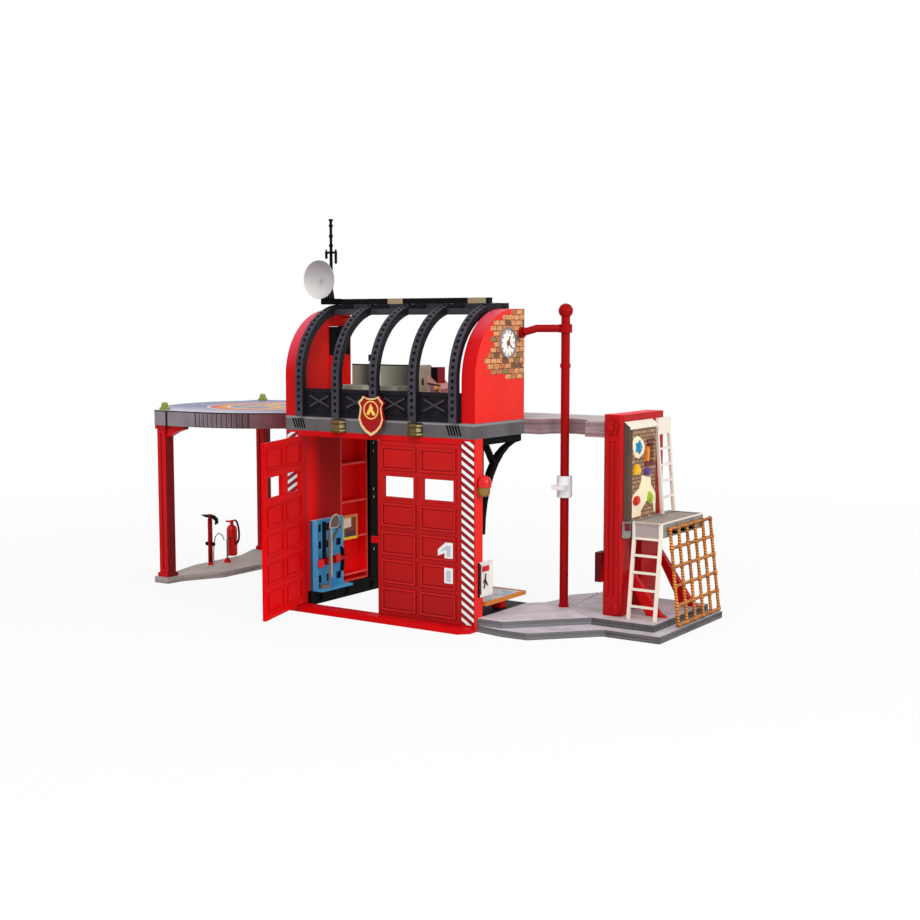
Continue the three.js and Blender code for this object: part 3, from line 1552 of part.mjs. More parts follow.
const towerFrame = joined([
  column.subtract(joined(columnCuts)), topBeam, rearLeg, rearFoot, lug, star, knob,
]);
addPiece('tower_frame', towerFrame, red, glossy, 0);

// Climbing wall with its sloped coping, window and holds
const wallBackFace = columnRight + seatGap;
const wallFace = wallBackFace + wallThickness;
const wallPlate = block(wallBackFace, wallFace, wallFront, wallBack, landingTop, wallTop);
const wallEdge = block(
  wallBackFace, wallFace + wallStripProud, wallFront, wallFront + wallStrip,
  landingTop, wallTop,
);
const coping = prism(
  'y',
  [
    [wallBackFace, wallTop - fuseDepth], [wallBackFace + copingReach, wallTop - fuseDepth],
    [wallBackFace + copingReach, wallTop + copingLip - fuseDepth],
    [wallBackFace, wallTop + copingHeight],
  ],
  wallFront, wallBack,
);
const wallWindow = block(
  wallBackFace - cutOverrun, wallFace + cutOverrun, windowFront, windowBack,
  windowBottom, windowTop,
);
const holds = holdPlaceShares.map(([across, up, size], index) => {
  const y = wallFront + (wallBack - wallFront) * across;
  const z = landingTop + (wallTop - landingTop) * up;
  const corners = holdOutlineShares[index];
  const layer = (share, height) => {
    const outline = corners.map((corner, step) => {
      const angle = (Math.PI * 2 * step) / corners.length;
      const radius = corner * size * share * holdRadius;
      return [y + Math.cos(angle) * radius, z + Math.sin(angle) * radius];
    });
    return prism('x', outline, wallFace - fuseDepth, wallFace + height);
  };
  return layer(1, holdHeight * holdStepShare).add(layer(holdStepShare, holdHeight));
});
const climbing = joined([wallPlate, wallEdge, coping]).subtract(wallWindow).add(joined(holds));
addPiece('climbing_wall', climbing, 0xa58c73, 0.7, 0);

// Landing that clips round the column, with pins for the net
const landingUnderside = landingTop - landingThickness;
const landingSlab = block(
  wallBackFace, landingRight, landingFront, landingBack, landingUnderside, landingTop,
);
const landingField = block(
  wallFace + landingRim, landingRight - landingRim, landingFront + landingRim,
  landingBack - landingRim, landingTop - landingSink, landingTop + cutOverrun,
);
const clamp = block(
  wallBackFace, wallBackFace + clampReach, clampFront, clampBack,
  landingUnderside - clampDrop, landingTop,
);
const pinLevel = netTopLevel - netStrandRadius - netPinRadius - seatGap;
const netPins = netPinShares.map((share) => {
  const y = netTopFront + (netTopBack - netTopFront) * share;
  return bar(
    [landingRight - fuseDepth, y, pinLevel], [landingRight + netPinReach, y, pinLevel],
    netPinRadius, smallSides,
  );
});
const landing = landingSlab.add(clamp).subtract(landingField).add(joined(netPins));
addPiece('landing', landing, 0x8b8a88, satin, 0);

// Lower ladder, leaning on the front of the landing
const ladderTopBack = landingFront - seatGap;
const ladderTopFront = ladderTopBack - ladderRailDepth;
const ladderFootBack = lowerFootFront + ladderRailDepth;
const ladderSide = [
  [lowerFootFront, platformHeight], [ladderFootBack, platformHeight],
  [ladderTopBack, landingUnderside], [ladderTopBack, landingTop], [ladderTopFront, landingTop],
  [ladderTopFront, landingUnderside],
];
const lowerRails = [ladderLeft, ladderRight - ladderRail].map(
  (x) => prism('x', ladderSide, x, x + ladderRail),
);
const lowerSteps = [];
for (let index = 0; index < lowerRungs; index += 1) {
  const level = landingUnderside - rungHeight - rungPitch * index;
  const share = (level - platformHeight) / (landingUnderside - platformHeight);
  const y = lowerFootFront + (ladderTopFront - lowerFootFront) * share;
  lowerSteps.push(block(
    ladderLeft + fuseDepth, ladderRight - fuseDepth, y, y + rungDepth, level, level + rungHeight,
  ));
}
const lowerPlate = block(
  ladderLeft + fuseDepth, ladderRight - fuseDepth, ladderTopFront + lowerPlateSink, ladderTopBack,
  landingUnderside - rungHeight, landingTop,
);
const lowerHead = block(
  ladderLeft, ladderRight, ladderTopFront, ladderTopBack, landingTop - rungHeight, landingTop,
);
addPiece('lower_ladder', joined([...lowerRails, ...lowerSteps, lowerPlate, lowerHead]), cream, satin, 0);

// Upper ladder, hooked on the tower beam
const upperFootReach = columnRight + upperFootStep;
const upperBack = beamRight + seatGap;
const upperFace = upperBack + ladderPlateThickness;
const upperPlate = block(
  upperBack, upperFace, upperLadderFront, upperLadderBack, upperPlateBottom, upperPlateTop,
);
const upperSide = [
  [upperFootReach - ladderRailDepth, landingTop], [upperFootReach, landingTop],
  [upperFace, upperPlateBottom + fuseDepth], [upperBack, upperPlateBottom + fuseDepth],
];
const upperRails = [upperLadderFront, upperLadderBack - ladderRail].map(
  (y) => prism('y', upperSide, y, y + ladderRail),
);
const upperSteps = [];
for (let index = 0; index < upperRungs; index += 1) {
  const level = landingTop + rungPitch * (index + 1) - rungHeight / 2;
  const share = (level - landingTop) / (upperPlateBottom - landingTop);
  const x = upperFootReach - ladderRailDepth - (upperFootReach - ladderRailDepth - upperBack) * share;
  upperSteps.push(block(
    x + fuseDepth, x + fuseDepth + rungDepth - fuseDepth, upperLadderFront + fuseDepth,
    upperLadderBack - fuseDepth, level, level + rungHeight,
  ));
}
addPiece('upper_ladder', joined([upperPlate, ...upperRails, ...upperSteps]), cream, satin, 0);

// Rope net between the landing and the step below
const netFoot = stepHeight + netKnotRadius + seatGap;
function netPoint(across, down) {
  const front = netTopFront + (netBottomFront - netTopFront) * down;
  const back = netTopBack + (netBottomBack - netTopBack) * down;
  return [
    netTopX + (netBottomX - netTopX) * down, front + (back - front) * across,
    netTopLevel + (netFoot - netTopLevel) * down,
  ];
}
const netParts = [];
for (let index = 0; index < netStrands; index += 1) {
  const share = index / (netStrands - 1);
  netParts.push(bar(netPoint(share, 0), netPoint(share, 1), netStrandRadius, netSides));
  netParts.push(bar(netPoint(0, share), netPoint(1, share), netStrandRadius, netSides));
}
const netFall = netTopLevel - netFoot;
const knotShare = netKnotLength / netFall / 2;
for (let column = 0; column < netStrands; column += 1) {
  for (let row = 0; row < netStrands; row += 1) {
    const across = column / (netStrands - 1);
    const down = row / (netStrands - 1);
    const start = netPoint(across, Math.max(0, down - knotShare));
    const end = netPoint(across, Math.min(1, down + knotShare));
    netParts.push(bar(start, end, netKnotRadius, netSides));
  }
}
addPiece('rope_net', joined(netParts), 0xcd7d2d, 0.6, 0);

// Slanted braces beside the column and the rear leg
function brace(front, top, reach) {
  const start = beamRight - braceLug;
  const footEnd = columnRight + reach;
  const side = [
    [start, top], [start, top + braceDepth], [columnRight, top + braceDepth],
    [footEnd, platformHeight + braceFootHeight], [footEnd + braceFootLength / 2, platformHeight],
    [footEnd - braceFootLength, platformHeight], [columnRight, top - braceDepth / 2],
  ];
  return prism('y', side, front, front + braceWidth);
}
const braceFront = brace(columnBack + seatGap, braceFrontTop, braceFrontReach);
addPiece('brace_front', braceFront, red, glossy, 0);
addPiece('brace_rear', brace(rearFootBack + seatGap, braceRearTop, braceRearReach), red, glossy, 0);

// Helipad deck
const padTop = padBottom + padThickness;
const padDisc = upright(padX, padY, padBottom, padTop, padRadius, padSides);
const padFrontBlockX = -halfWidth - padFrontBlockReach;
const padRearBlockX = -halfWidth - padRearBlockReach;
const padBlocks = [
  block(
    padFrontBlockX, padFrontBlockX + padFrontBlockWidth, padFrontBlockFront,
    padFrontBlockFront + padFrontBlockDepth, padBottom, padTop,
  ),
  block(
    padRearBlockX, padRearBlockX + padRearBlockWidth, padRearBlockFront,
    padRearBlockFront + padRearBlockDepth, padBottom, padTop,
  ),
];
const padSlotX = -halfWidth - padFrontSlotReach;
const padSlot = block(
  padSlotX, padSlotX + padFrontSlot, padFrontBlockFront - cutOverrun,
  padFrontBlockFront + padFrontSlotDepth, padBottom - cutOverrun, padTop - padFrontSlot / 2,
);
const padNeck = block(
  -halfWidth - neckReach, -halfWidth - seatGap, neckFront, neckBack, padBottom, padTop,
);
const padRibs = [];
for (let index = 0; index < padRibCount; index += 1) {
  const x = padX + padRibShift + padRibPitch * index;
  const y = padY - Math.sqrt(padRadius ** 2 - (x - padX) ** 2);
  padRibs.push(upright(x, y, padBottom + padRibRadius, padTop - padRibRadius, padRibRadius, 8));
}
const padPocketOuter = upright(
  padX, padY, padBottom - cutOverrun, padTop - padPocketRoof, padRadius - padPocketRim, padSides,
);
const padKeep = [
  block(
    padX - padPocketRib / 2, padX + padPocketRib / 2, padY - padRadius, padY + padRadius,
    padBottom, padTop,
  ),
  block(
    padX - padRadius, padX + padRadius, padY - padPocketRib / 2, padY + padPocketRib / 2,
    padBottom, padTop,
  ),
  ...padBlocks,
];
const padPocket = padPocketOuter.subtract(joined(padKeep));
const padBody = joined([padDisc, ...padBlocks, padNeck, ...padRibs]);
const helipad = padBody.subtract(joined([padPocket, padSlot]));
addPiece('helipad_deck', helipad, 0x8a8894, satin, 0);

// Helipad posts
function padPost([x, y]) {
  const half = postWidth / 2;
  const wide = postCollarWidth / 2;
  const shaft = block(x - half, x + half, y - half, y + half, padBaseHeight, padBottom);
  const collars = [padBaseHeight, padBottom - postCollarHeight].map((level) => block(
    x - wide, x + wide, y - wide, y + wide, level, level + postCollarHeight,
  ));
  const grooveLow = padBaseHeight + postCollarHeight * 2;
  const grooveHigh = padBottom - postCollarHeight * 2;
  const groove = block(
    x - postGroove / 2, x + postGroove / 2, y - half - cutOverrun, y - half + postGrooveDepth,
    grooveLow, grooveHigh,
  );
  return joined([shaft.subtract(groove), ...collars]);
}
const gussetStart = frontPost[0] + postWidth / 2 - fuseDepth;
const gusset = prism(
  'y',
  [
    [gussetStart, padBottom], [gussetStart, padBottom - gussetDrop],
    [gussetStart + gussetReach / 2, padBottom - gussetDrop * 0.55],
    [gussetStart + gussetReach, padBottom - gussetLip], [gussetStart + gussetReach, padBottom],
  ],
  frontPost[1] - postWidth / 3, frontPost[1] + postWidth / 3,
);
addPiece('helipad_post_front', padPost(frontPost).add(gusset), red, glossy, 0);
addPiece('helipad_post_rear', padPost(rearPadPost), red, glossy, 0);
const padBaseX = -halfWidth - padBaseReach;
const padBaseOutline = spread(padBaseShares, padBaseX, padBaseWidth, padBaseFront, padBaseDepth);
addPiece('helipad_base', prism('z', padBaseOutline, 0, padBaseHeight), 0x8f8d92, satin, 0);

for (const [name, [x, y]] of [['helipad_lamp_front', frontPost], ['helipad_lamp_rear', rearPadPost]]) {
  const profile = [
    [0, 0], [padLampRadius, 0], [padLampRadius, padLampHeight * 0.3],
    [padLampRadius * 0.7, padLampHeight * 0.4], [padLampRadius * 0.62, padLampHeight * 0.8],
    [padLampRadius * 0.4, padLampHeight], [0, padLampHeight],
  ];
  addPiece(name, turned(profile, x, y, padTop, roundSides), 0xa9b43c, 0.3, 0);
}

// Axe on its foot
const axeX = -halfWidth - axeReach;
const axeFoot = turned(
  [[0, 0], [axeFootRadius, 0], [axeHandleRadius, axeFootHeight], [0, axeFootHeight]],
  axeX, axeY, padBaseHeight, smallSides,
);
const axeHandle = upright(
  axeX, axeY, padBaseHeight + fuseDepth, padBaseHeight + axeHeight * 0.97,
  axeHandleRadius, smallSides,
);
const axeHeadOutline = axeHeadShares.map(
  ([u, v]) => [axeX + u * axeHeight, padBaseHeight + v * axeHeight],
);
const axeHead = prism(
  'y', axeHeadOutline.reverse(), axeY - axeHeadThickness / 2, axeY + axeHeadThickness / 2,
);
addPiece('axe', joined([axeFoot, axeHandle, axeHead]), red, satin, 0);

// Extinguisher clipped to its stand
const bottleX = -halfWidth - bottleReach;
const standX = -halfWidth - standReach;
const bottleBottom = padBaseHeight + bottleLift;
const bottle = turned(
  [
    [0, 0], [bottleRadius * 0.85, 0], [bottleRadius, bottleRadius * 0.25],
    [bottleRadius, bottleHeight - bottleRadius * 0.8],
    [bottleRadius * 0.75, bottleHeight - bottleRadius * 0.25],
    [bottleNeckRadius, bottleHeight], [bottleNeckRadius, bottleHeight + bottleNeckHeight],
    [0, bottleHeight + bottleNeckHeight],
  ],
  bottleX, bottleY, bottleBottom, 16,
);
const bottleTop = bottleBottom + bottleHeight + bottleNeckHeight;
const hoseOut = bottleRadius + bottleHoseReach;
const bottleHose = bentBar(
  [
    [bottleX, bottleY, bottleTop - bottleHoseRadius],
    [bottleX + hoseOut * 0.6, bottleY, bottleTop],
    [bottleX + hoseOut, bottleY, bottleTop - bottleHeight * 0.3],
    [bottleX + hoseOut * 0.92, bottleY, bottleTop - bottleHeight * 0.65],
    [bottleX + bottleRadius * 0.8, bottleY, bottleTop - bottleHeight * 0.8],
  ],
  bottleHoseRadius, 14, 6,
);
const bottleLever = block(
  bottleX - bottleLeverReach, bottleX, bottleY - bottleLeverWidth / 2,
  bottleY + bottleLeverWidth / 2, bottleTop - bottleLeverHeight * 1.5,
  bottleTop - bottleLeverHeight / 2,
);
const standFoot = turned(
  [[0, 0], [standFootRadius, 0], [standRodRadius * 2, standFootHeight], [0, standFootHeight]],
  standX, standY, padBaseHeight, smallSides,
);
const standTop = padBaseHeight + standRodHeight;
const standRod = upright(
  standX, standY, padBaseHeight + fuseDepth, standTop, standRodRadius, smallSides,
);
const standClip = bar(
  [standX, standY, standTop - standRodRadius], [bottleX, bottleY, standTop - standRodRadius],
  standRodRadius, smallSides,
);
const extinguisher = joined([
  bottle, bottleHose, bottleLever, standFoot, standRod, standClip,
]);
addPiece('extinguisher', extinguisher, red, glossy, 0);

export default station;
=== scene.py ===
import math
import bmesh
import bpy
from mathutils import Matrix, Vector


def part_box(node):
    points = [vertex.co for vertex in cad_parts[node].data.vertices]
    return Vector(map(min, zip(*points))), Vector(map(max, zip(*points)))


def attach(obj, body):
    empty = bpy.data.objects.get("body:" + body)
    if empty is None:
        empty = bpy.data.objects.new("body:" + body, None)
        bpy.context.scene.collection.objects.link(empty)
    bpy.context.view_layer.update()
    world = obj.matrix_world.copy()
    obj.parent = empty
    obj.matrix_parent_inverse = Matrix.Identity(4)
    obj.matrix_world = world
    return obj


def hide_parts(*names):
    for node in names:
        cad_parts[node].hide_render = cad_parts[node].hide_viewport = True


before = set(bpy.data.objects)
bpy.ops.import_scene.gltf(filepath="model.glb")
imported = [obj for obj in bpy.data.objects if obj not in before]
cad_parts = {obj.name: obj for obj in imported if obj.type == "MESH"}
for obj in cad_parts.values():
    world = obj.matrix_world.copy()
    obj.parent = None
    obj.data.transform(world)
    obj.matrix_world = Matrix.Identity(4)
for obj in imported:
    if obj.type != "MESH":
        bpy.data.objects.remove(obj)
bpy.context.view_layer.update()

MM = 0.001
EDGE_RADIUS = 0.4 * MM
GRAIN_DEPTH = 0.06 * MM
NOISE_SPAN = (0.3, 0.7)
DRIFT_SCALE = 30.0
WEAR_SCALE = 160.0
WEAR = 0.06
GRAIN_SCALE = 900.0


def mm(*lengths):
    return tuple(length * MM for length in lengths)


# Colours

def linear(colour):
    """A colour of 8-bit channels, as its shader wants it."""
    def channel(c):
        c = c / 255.0
        return c / 12.92 if c <= 0.04045 else ((c + 0.055) / 1.055) ** 2.4
    return (*map(channel, colour), 1.0)


RED = (204, 6, 12)
# Brighter red for faces turned to the right: painted light.
RED_LIT = (240, 46, 38)
# Brighter red for inner faces: painted light that makes up for the shade inside.
RED_INNER_LIT = (250, 22, 22)
CHARCOAL = (26, 24, 29)
BLACK = (9, 9, 10)
STONE_TOP = (220, 212, 220)
CREAM = (240, 230, 214)
WHITE = (240, 240, 240)
# Dark rope brown, for painted shade in the rope's creases and for random mottling.
ROPE_DARK = (104, 46, 14)
# Direction whose facing sides of the rope get painted shade.
ROPE_SHADE_SIDE = (0.3, 0.9, -0.5)
BLUE = (84, 190, 240)
SOOT = (0.02, 0.015, 0.015, 1.0)


# Node helpers

def operator(operation):
    return lambda a, b=0.0: a.nodes.math(operation, a, b)


class Field:
    """A number that varies over a surface. Arithmetic with it makes math nodes."""

    def __init__(self, nodes, socket):
        self.nodes = nodes
        self.socket = socket

    def __rsub__(self, other):
        return self.nodes.math("SUBTRACT", other, self)

    __add__ = operator("ADD")
    __sub__ = operator("SUBTRACT")
    __mul__ = operator("MULTIPLY")
    __truediv__ = operator("DIVIDE")
    __mod__ = operator("MODULO")
    __pow__ = operator("POWER")
    __or__ = operator("MAXIMUM")
    __lt__ = operator("LESS_THAN")
    __gt__ = operator("GREATER_THAN")
    __abs__ = operator("ABSOLUTE")
    floor = operator("FLOOR")
    fract = operator("FRACT")
    root = operator("SQRT")

    def inside(self, low, high):
        return (self > low) * (self < high)

    def ramp(self, low, high, start, end):
        """Goes from low to high while the field goes from start to end."""
        inputs = {"Value": self, "From Min": start, "From Max": end, "To Min": low, "To Max": high}
        return Field(self.nodes, self.nodes.new("MapRange", inputs).outputs[0])

    def rise(self, start, end, top=1.0):
        return self.ramp(0.0, top, start, end)


class Nodes:
    """Short calls for the nodes of a material or a world."""

    def __init__(self, owner):
        owner.use_nodes = True
        self.tree = owner.node_tree
        self.tree.nodes.clear()

    def put(self, socket, value):
        """Links an output or a field to a socket, or sets it to a number or an 8-bit colour."""
        value = getattr(value, "socket", value)
        if isinstance(value, bpy.types.NodeSocket):
            self.tree.links.new(value, socket)
        elif isinstance(value, tuple) and len(value) == 3:
            socket.default_value = linear(value)
        else:
            socket.default_value = value

    def new(self, kind, inputs=(), **settings):
        """A node with its settings, and a value or a link on each input given."""
        node = self.tree.nodes.new("ShaderNode" + kind)
        for key, value in settings.items():
            setattr(node, key, value)
        for key, value in dict(inputs).items():
            self.put(node.inputs[key], value)
        return node

    def math(self, operation, a, b=0.0):
        return Field(self, self.new("Math", {0: a, 1: b}, operation=operation).outputs[0])

    def blend(self, share, first, second, out):
        """Mixes two shaders into the output."""
        mixed = self.new("MixShader", {0: share, 1: first.outputs[0], 2: second.outputs[0]})
        self.new(out, {"Surface": mixed.outputs[0]})


class Shader(Nodes):
    """A material with a Principled shader, whose edges look rounded if it is soft."""

    def __init__(self, name, colour, specular, soft=True):
        self.colour = colour
        self.material = bpy.data.materials.new(name)
        super().__init__(self.material)
        self.bsdf = self.new("BsdfPrincipled", {"Specular IOR Level": specular})
        self.new("OutputMaterial", {"Surface": self.bsdf.outputs[0]})
        self.coords = self.new("TexCoord").outputs["Object"]
        self.normal = None
        if soft:
            self.turn(self.new("Bevel", {"Radius": EDGE_RADIUS}, samples=3))

    def turn(self, node):
        """Makes a node's output the shader's normal."""
        self.normal = node.outputs[0]
        self.put(self.bsdf.inputs["Normal"], self.normal)

    def bump(self, height, strength, distance):
        node = self.new("Bump", {"Strength": strength, "Distance": distance, "Height": height})
        if self.normal:
            self.put(node.inputs["Normal"], self.normal)
        self.turn(node)

    def axes(self, vector=None):
        return [Field(self, out) for out in self.new("SeparateXYZ", {0: vector or self.coords}).outputs]

    def faces(self):
        """The mesh's own flat normal, axis by axis."""
        return self.axes(self.new("NewGeometry").outputs["True Normal"])

    def vector(self, x, y, z):
        return self.new("CombineXYZ", {0: x, 1: y, 2: z}).outputs[0]

    def noise(self, scale, detail=3.0, vector=None):
        inputs = {"Vector": vector or self.coords, "Scale": scale, "Detail": detail}
        return Field(self, self.new("TexNoise", inputs).outputs["Fac"])

    def mix(self, factor, a, b):
        return self.new("Mix", {"Factor": factor, "A": a, "B": b}, data_type="RGBA").outputs["Result"]

    def lay(self, share, colour):
        """Lays a colour over what is there, as far as a share from 0 to 1 says."""
        self.colour = self.mix(share, self.colour, colour)

    def finish(self, roughness, grain=0.25, drift=0.10, coat=0.0, metallic=0.0):
        """Moulded plastic: drifting tone, fine grain and uneven polish."""
        self.lay(self.noise(DRIFT_SCALE).rise(*NOISE_SPAN, drift), SOOT)
        polish = self.noise(WEAR_SCALE, 4.0).ramp(roughness - WEAR, roughness + WEAR, *NOISE_SPAN)
        inputs = {"Base Color": self.colour, "Roughness": polish, "Metallic": metallic,
                  "Coat Weight": coat, "Coat Roughness": 0.15}
        for key, value in inputs.items():
            self.put(self.bsdf.inputs[key], value)
        self.bump(self.noise(GRAIN_SCALE, 2.0), grain, GRAIN_DEPTH)
        return self.material


def plastic(name, colour, roughness=0.42, grain=0.25, specular=0.3, drift=0.10, coat=0.0, metallic=0.0):
    return Shader(name, colour, specular).finish(roughness, grain, drift, coat, metallic)


def two_tone(name, colour, over, share, specular, roughness, grain=0.25, drift=0.10, soft=True):
    """Plastic with a second colour as far as a function of x, y and z says."""
    shader = Shader(name, colour, specular, soft)
    shader.lay(share(*shader.axes()), over)
    return shader.finish(roughness, grain, drift)


red = plastic("red_gloss", RED, 0.42, 0.2, 0.12)
# Deep red: the axe handle's own colour, and painted shade on the helipad posts' right faces.
red_dark = plastic("red_deep", (128, 8, 14), 0.5, 0.2, 0.12)
# Dark red for groove walls and relief sides: painted shade.
red_groove = plastic("red_groove", (96, 4, 8), 0.6, 0.2, 0.1)
maroon = plastic("maroon", (110, 14, 26), 0.5)
charcoal = plastic("charcoal_satin", CHARCOAL, 0.55, 0.4, 0.08)
black = plastic("black_satin", BLACK, 0.6, 0.25, 0.05)
cream = plastic("cream_satin", CREAM, 0.5)
white = plastic("white_satin", WHITE, 0.45)
gold = plastic("gold_paint", (226, 170, 66), 0.32, 0.3, 0.5, 0.2, 0.1, 0.35)
lamp_green = plastic("lamp_green", (138, 150, 34), 0.2, 0.1, 0.5, 0.3, 0.4)
hose_grey = plastic("hose_grey", (128, 120, 112), 0.5)
orange = plastic("orange", (232, 132, 30), 0.45)
paper = plastic("paper", (244, 240, 232), 0.7, 0.1)
pole_red = plastic("pole_red", (156, 3, 6), 0.4, 0.1, 0.08)


# Printed and patterned materials, some with painted light and shade

SIDE_LIT = 104.7 * MM
STRIPE_SLOPE = 0.63
STRIPE_PITCH = 7.15 * MM
STRIPE_START = 14.2 * MM
STRIPE_SPAN = mm(91.2, 103.8)
STRIPE_LEVELS = mm(5.5, 164.6)
STRIPE_SHARE = (0.26, 0.74)
STRIPE_SHIFT = 40.0
FRONT_DEPTH = 0.2 * MM


def striped_red():
    """Red plastic with white slanted stripes printed on the pillars' fronts; the red between them is
    printed deep, with painted shade darkening it beside the white, and faces turned right get painted
    light.
    """
    shader = Shader("red_striped", RED, 0.12)
    x, y, z = shader.axes()
    wide = abs(x)
    slant = z - STRIPE_START + (wide - STRIPE_SPAN[0]) * STRIPE_SLOPE
    phase = (slant / STRIPE_PITCH + STRIPE_SHIFT).fract()
    front = (y < FRONT_DEPTH) * wide.inside(*STRIPE_SPAN)
    rows = z.inside(*STRIPE_LEVELS)
    middle = abs((phase + 0.5).fract() - 0.5)
    # Painted light: faces turned right get a brighter red.
    shader.lay(x > SIDE_LIT, RED_LIT)
    # Deep red between the stripes, with painted shade darkening it beside the white stripes.
    shader.lay(front * rows, shader.mix(middle < 0.1, (96, 4, 16), (170, 10, 22)))
    shader.lay(phase.inside(*STRIPE_SHARE) * front * rows, WHITE)
    return shader.finish(0.42, 0.2)


ARCH_TOP = 284.0 * MM


def arc_sheen(shader, amount, start):
    """Painted sheen: turns the base pink where the arched edge curls over."""
    arch = abs(shader.faces()[0]) < 0.5
    # Painted sheen: pink where the arch faces up.
    shader.lay(arch * shader.axes()[2].rise(start, ARCH_TOP, amount), (248, 104, 132))


def arched_red():
    """Red plastic for the left end wall, with a painted pink sheen on its arch."""
    shader = Shader("red_arch", RED, 0.1)
    arc_sheen(shader, 0.85, 222.0 * MM)
    return shader.finish(0.42, 0.2)


def brick_cells(shader, across, up, width, height, mortar):
    """Brick cells on two axes: a random number each, the brick mask and the cell's middle."""
    row = (up / height).floor()
    odd = abs(row) % 2.0
    shifted = across / width + odd * 0.5
    cell = shifted.floor()
    edge_x, edge_z = mortar / width, mortar / height
    body = shifted.fract().inside(edge_x, 1.0 - edge_x) * (up / height).fract().inside(edge_z, 1.0 - edge_z)
    place = shader.vector(cell, row, 0.0)
    noise = shader.new("TexWhiteNoise", {"Vector": place}, noise_dimensions="2D")
    middle = cell + 0.5 - odd * 0.5
    return Field(shader, noise.outputs["Value"]), body, middle * width, (row + 0.5) * height


BRICK_EDGE = (
    (214, 79), (217, 58), (220, 24), (226, 10), (231, 10), (237, 17), (242, 23), (250, 22),
    (256, 21), (261, 25), (265, 31), (270, 39), (275, 50),
)
BRICK_LOW = 0.200
BRICK_HIGH = 0.280
BRICK_SPAN = 80.0
BRICK_SIZE = mm(9.6, 4.7, 0.42)
BRICK_JITTER = 7.0 * MM
BRICK_LEVELS = mm(213.0, 275.5)
BRICK_DEPTH = 0.3 * MM
BRICK_TONES = ((0.55, (204, 130, 84)), (0.72, (142, 126, 84)), (0.9, (108, 84, 62)))
CLIMBING_SIZE = mm(8.4, 3.6, 0.4)
STONE_JOINT = 0.35 * MM


def end_wall_print():
    """Red plastic whose outer face carries a ragged patch of printed bricks, with a painted pink sheen on
    the arch and painted light on the faces turned right.
    """
    shader = Shader("red_with_bricks", RED, 0.12)
    x, y, z = shader.axes()
    value, body, middle, level = brick_cells(shader, y, z, *BRICK_SIZE)
    curve = shader.new("FloatCurve", {"Value": level.rise(BRICK_LOW, BRICK_HIGH)})
    points = curve.mapping.curves[0].points
    points[0].location = (0.0, 1.0)
    points[1].location = (1.0, 0.7)
    for up, edge in BRICK_EDGE:
        points.new((up * MM - BRICK_LOW) / (BRICK_HIGH - BRICK_LOW), edge / BRICK_SPAN)
    for point in points:
        point.handle_type = "VECTOR"
    curve.mapping.update()
    bound = Field(shader, curve.outputs[0]) * (BRICK_SPAN * MM)
    covered = middle > bound + value * BRICK_JITTER
    tone = (238, 170, 116)
    for limit, other in BRICK_TONES:
        tone = shader.mix(value > limit, tone, other)
    tone = shader.mix(shader.noise(380.0, 4.0).rise(0.42, 0.68, 0.75), tone, (146, 84, 54))
    joints = shader.mix(shader.noise(240.0) > 0.56, (106, 56, 36), (186, 116, 76))
    # Painted sheen on the arch.
    arc_sheen(shader, 0.75, 250.0 * MM)
    # Painted light: faces turned right get a brighter red.
    shader.lay(x > SIDE_LIT, RED_LIT)
    shader.lay(covered * level.inside(*BRICK_LEVELS) * (x > SIDE_LIT), shader.mix(body, joints, tone))
    return shader.finish(0.42, 0.2)


def climbing_brick():
    """Tan bricks with dark joints."""
    shader = Shader("climbing_brick", (92, 70, 52), 0.2, soft=False)
    _, y, z = shader.axes()
    value, body, _, _ = brick_cells(shader, y, z, *CLIMBING_SIZE)
    tone = shader.mix(value, (148, 112, 84), (196, 156, 124))
    shader.lay(body, shader.mix(shader.noise(300.0, 4.0).rise(0.4, 0.7, 0.5), tone, (120, 88, 64)))
    shader.finish(0.6, 0.5)
    shader.bump(body, 0.6, BRICK_DEPTH)
    return shader.material


def stone(name, top, side, joint, cell_w, cell_h, flow):
    """Moulded stone with joints between blocks; its pale top and darker sides are painted light and shade.
    """
    shader = Shader(name, joint, 0.25)
    x, y, z = shader.axes()
    flat = shader.faces()[2] > 0.5
    along = x - y
    value, body, _, _ = brick_cells(shader, along, z, cell_w, cell_h, STONE_JOINT)
    streak = shader.noise(70.0, 3.0, shader.vector(along * 0.25, 0.0, z * 5.0))
    shader.lay(body, shader.mix(value * 0.25, side, joint))
    shader.lay(streak.rise(0.35, 0.65) * flow, top)
    # Painted light and shade: flat tops take the pale top colour, the sides keep the darker side colour.
    shader.lay(flat, shader.mix(shader.noise(55.0, 5.0).rise(0.35, 0.7, 0.3), top, side))
    shader.finish(0.6, 0.6)
    shader.bump(body | flat, 0.5, BRICK_DEPTH)
    return shader.material


LANDING_FRONT = 78.2 * MM
LANDING_EDGE = 238.4 * MM
LANDING_TRIM = 93.9 * MM
LANDING_SPAN = mm(212.0, 239.9)
LANDING_BOARD = 5.2 * MM


def landing_stone():
    """Grey boards with a cream line along the front and outer edge."""
    shader = Shader("landing_stone", (150, 144, 142), 0.2)
    x, y, z = shader.axes()
    grain = shader.noise(60.0, 4.0, shader.vector(x * 4.0, y, z * 4.0))
    boards = (x / LANDING_BOARD).fract() < 0.1
    tops = shader.mix(grain.rise(0.35, 0.7, 0.7), (172, 162, 156), (130, 118, 110))
    tops = shader.mix(boards * 0.5, tops, (96, 88, 84))
    shader.lay(grain.rise(0.35, 0.7, 0.8), (104, 98, 98))
    shader.lay(shader.faces()[2] > 0.5, tops)
    trim = (z > LANDING_TRIM) * x.inside(*LANDING_SPAN)
    shader.lay(((y < LANDING_FRONT) | (x > LANDING_EDGE)) * trim, CREAM)
    return shader.finish(0.6, 0.5)


PAD_CENTRE = mm(-237.0, 135.0)
PAD_RING = mm(50.0, 68.0)
PAD_HALO = 3.0 * MM
PAD_GLARE = mm(30.0, 78.0)
LETTER_SIDES = mm(13.0, 24.0)
LETTER_TALL = 34.0 * MM
LETTER_BAR = 6.0 * MM


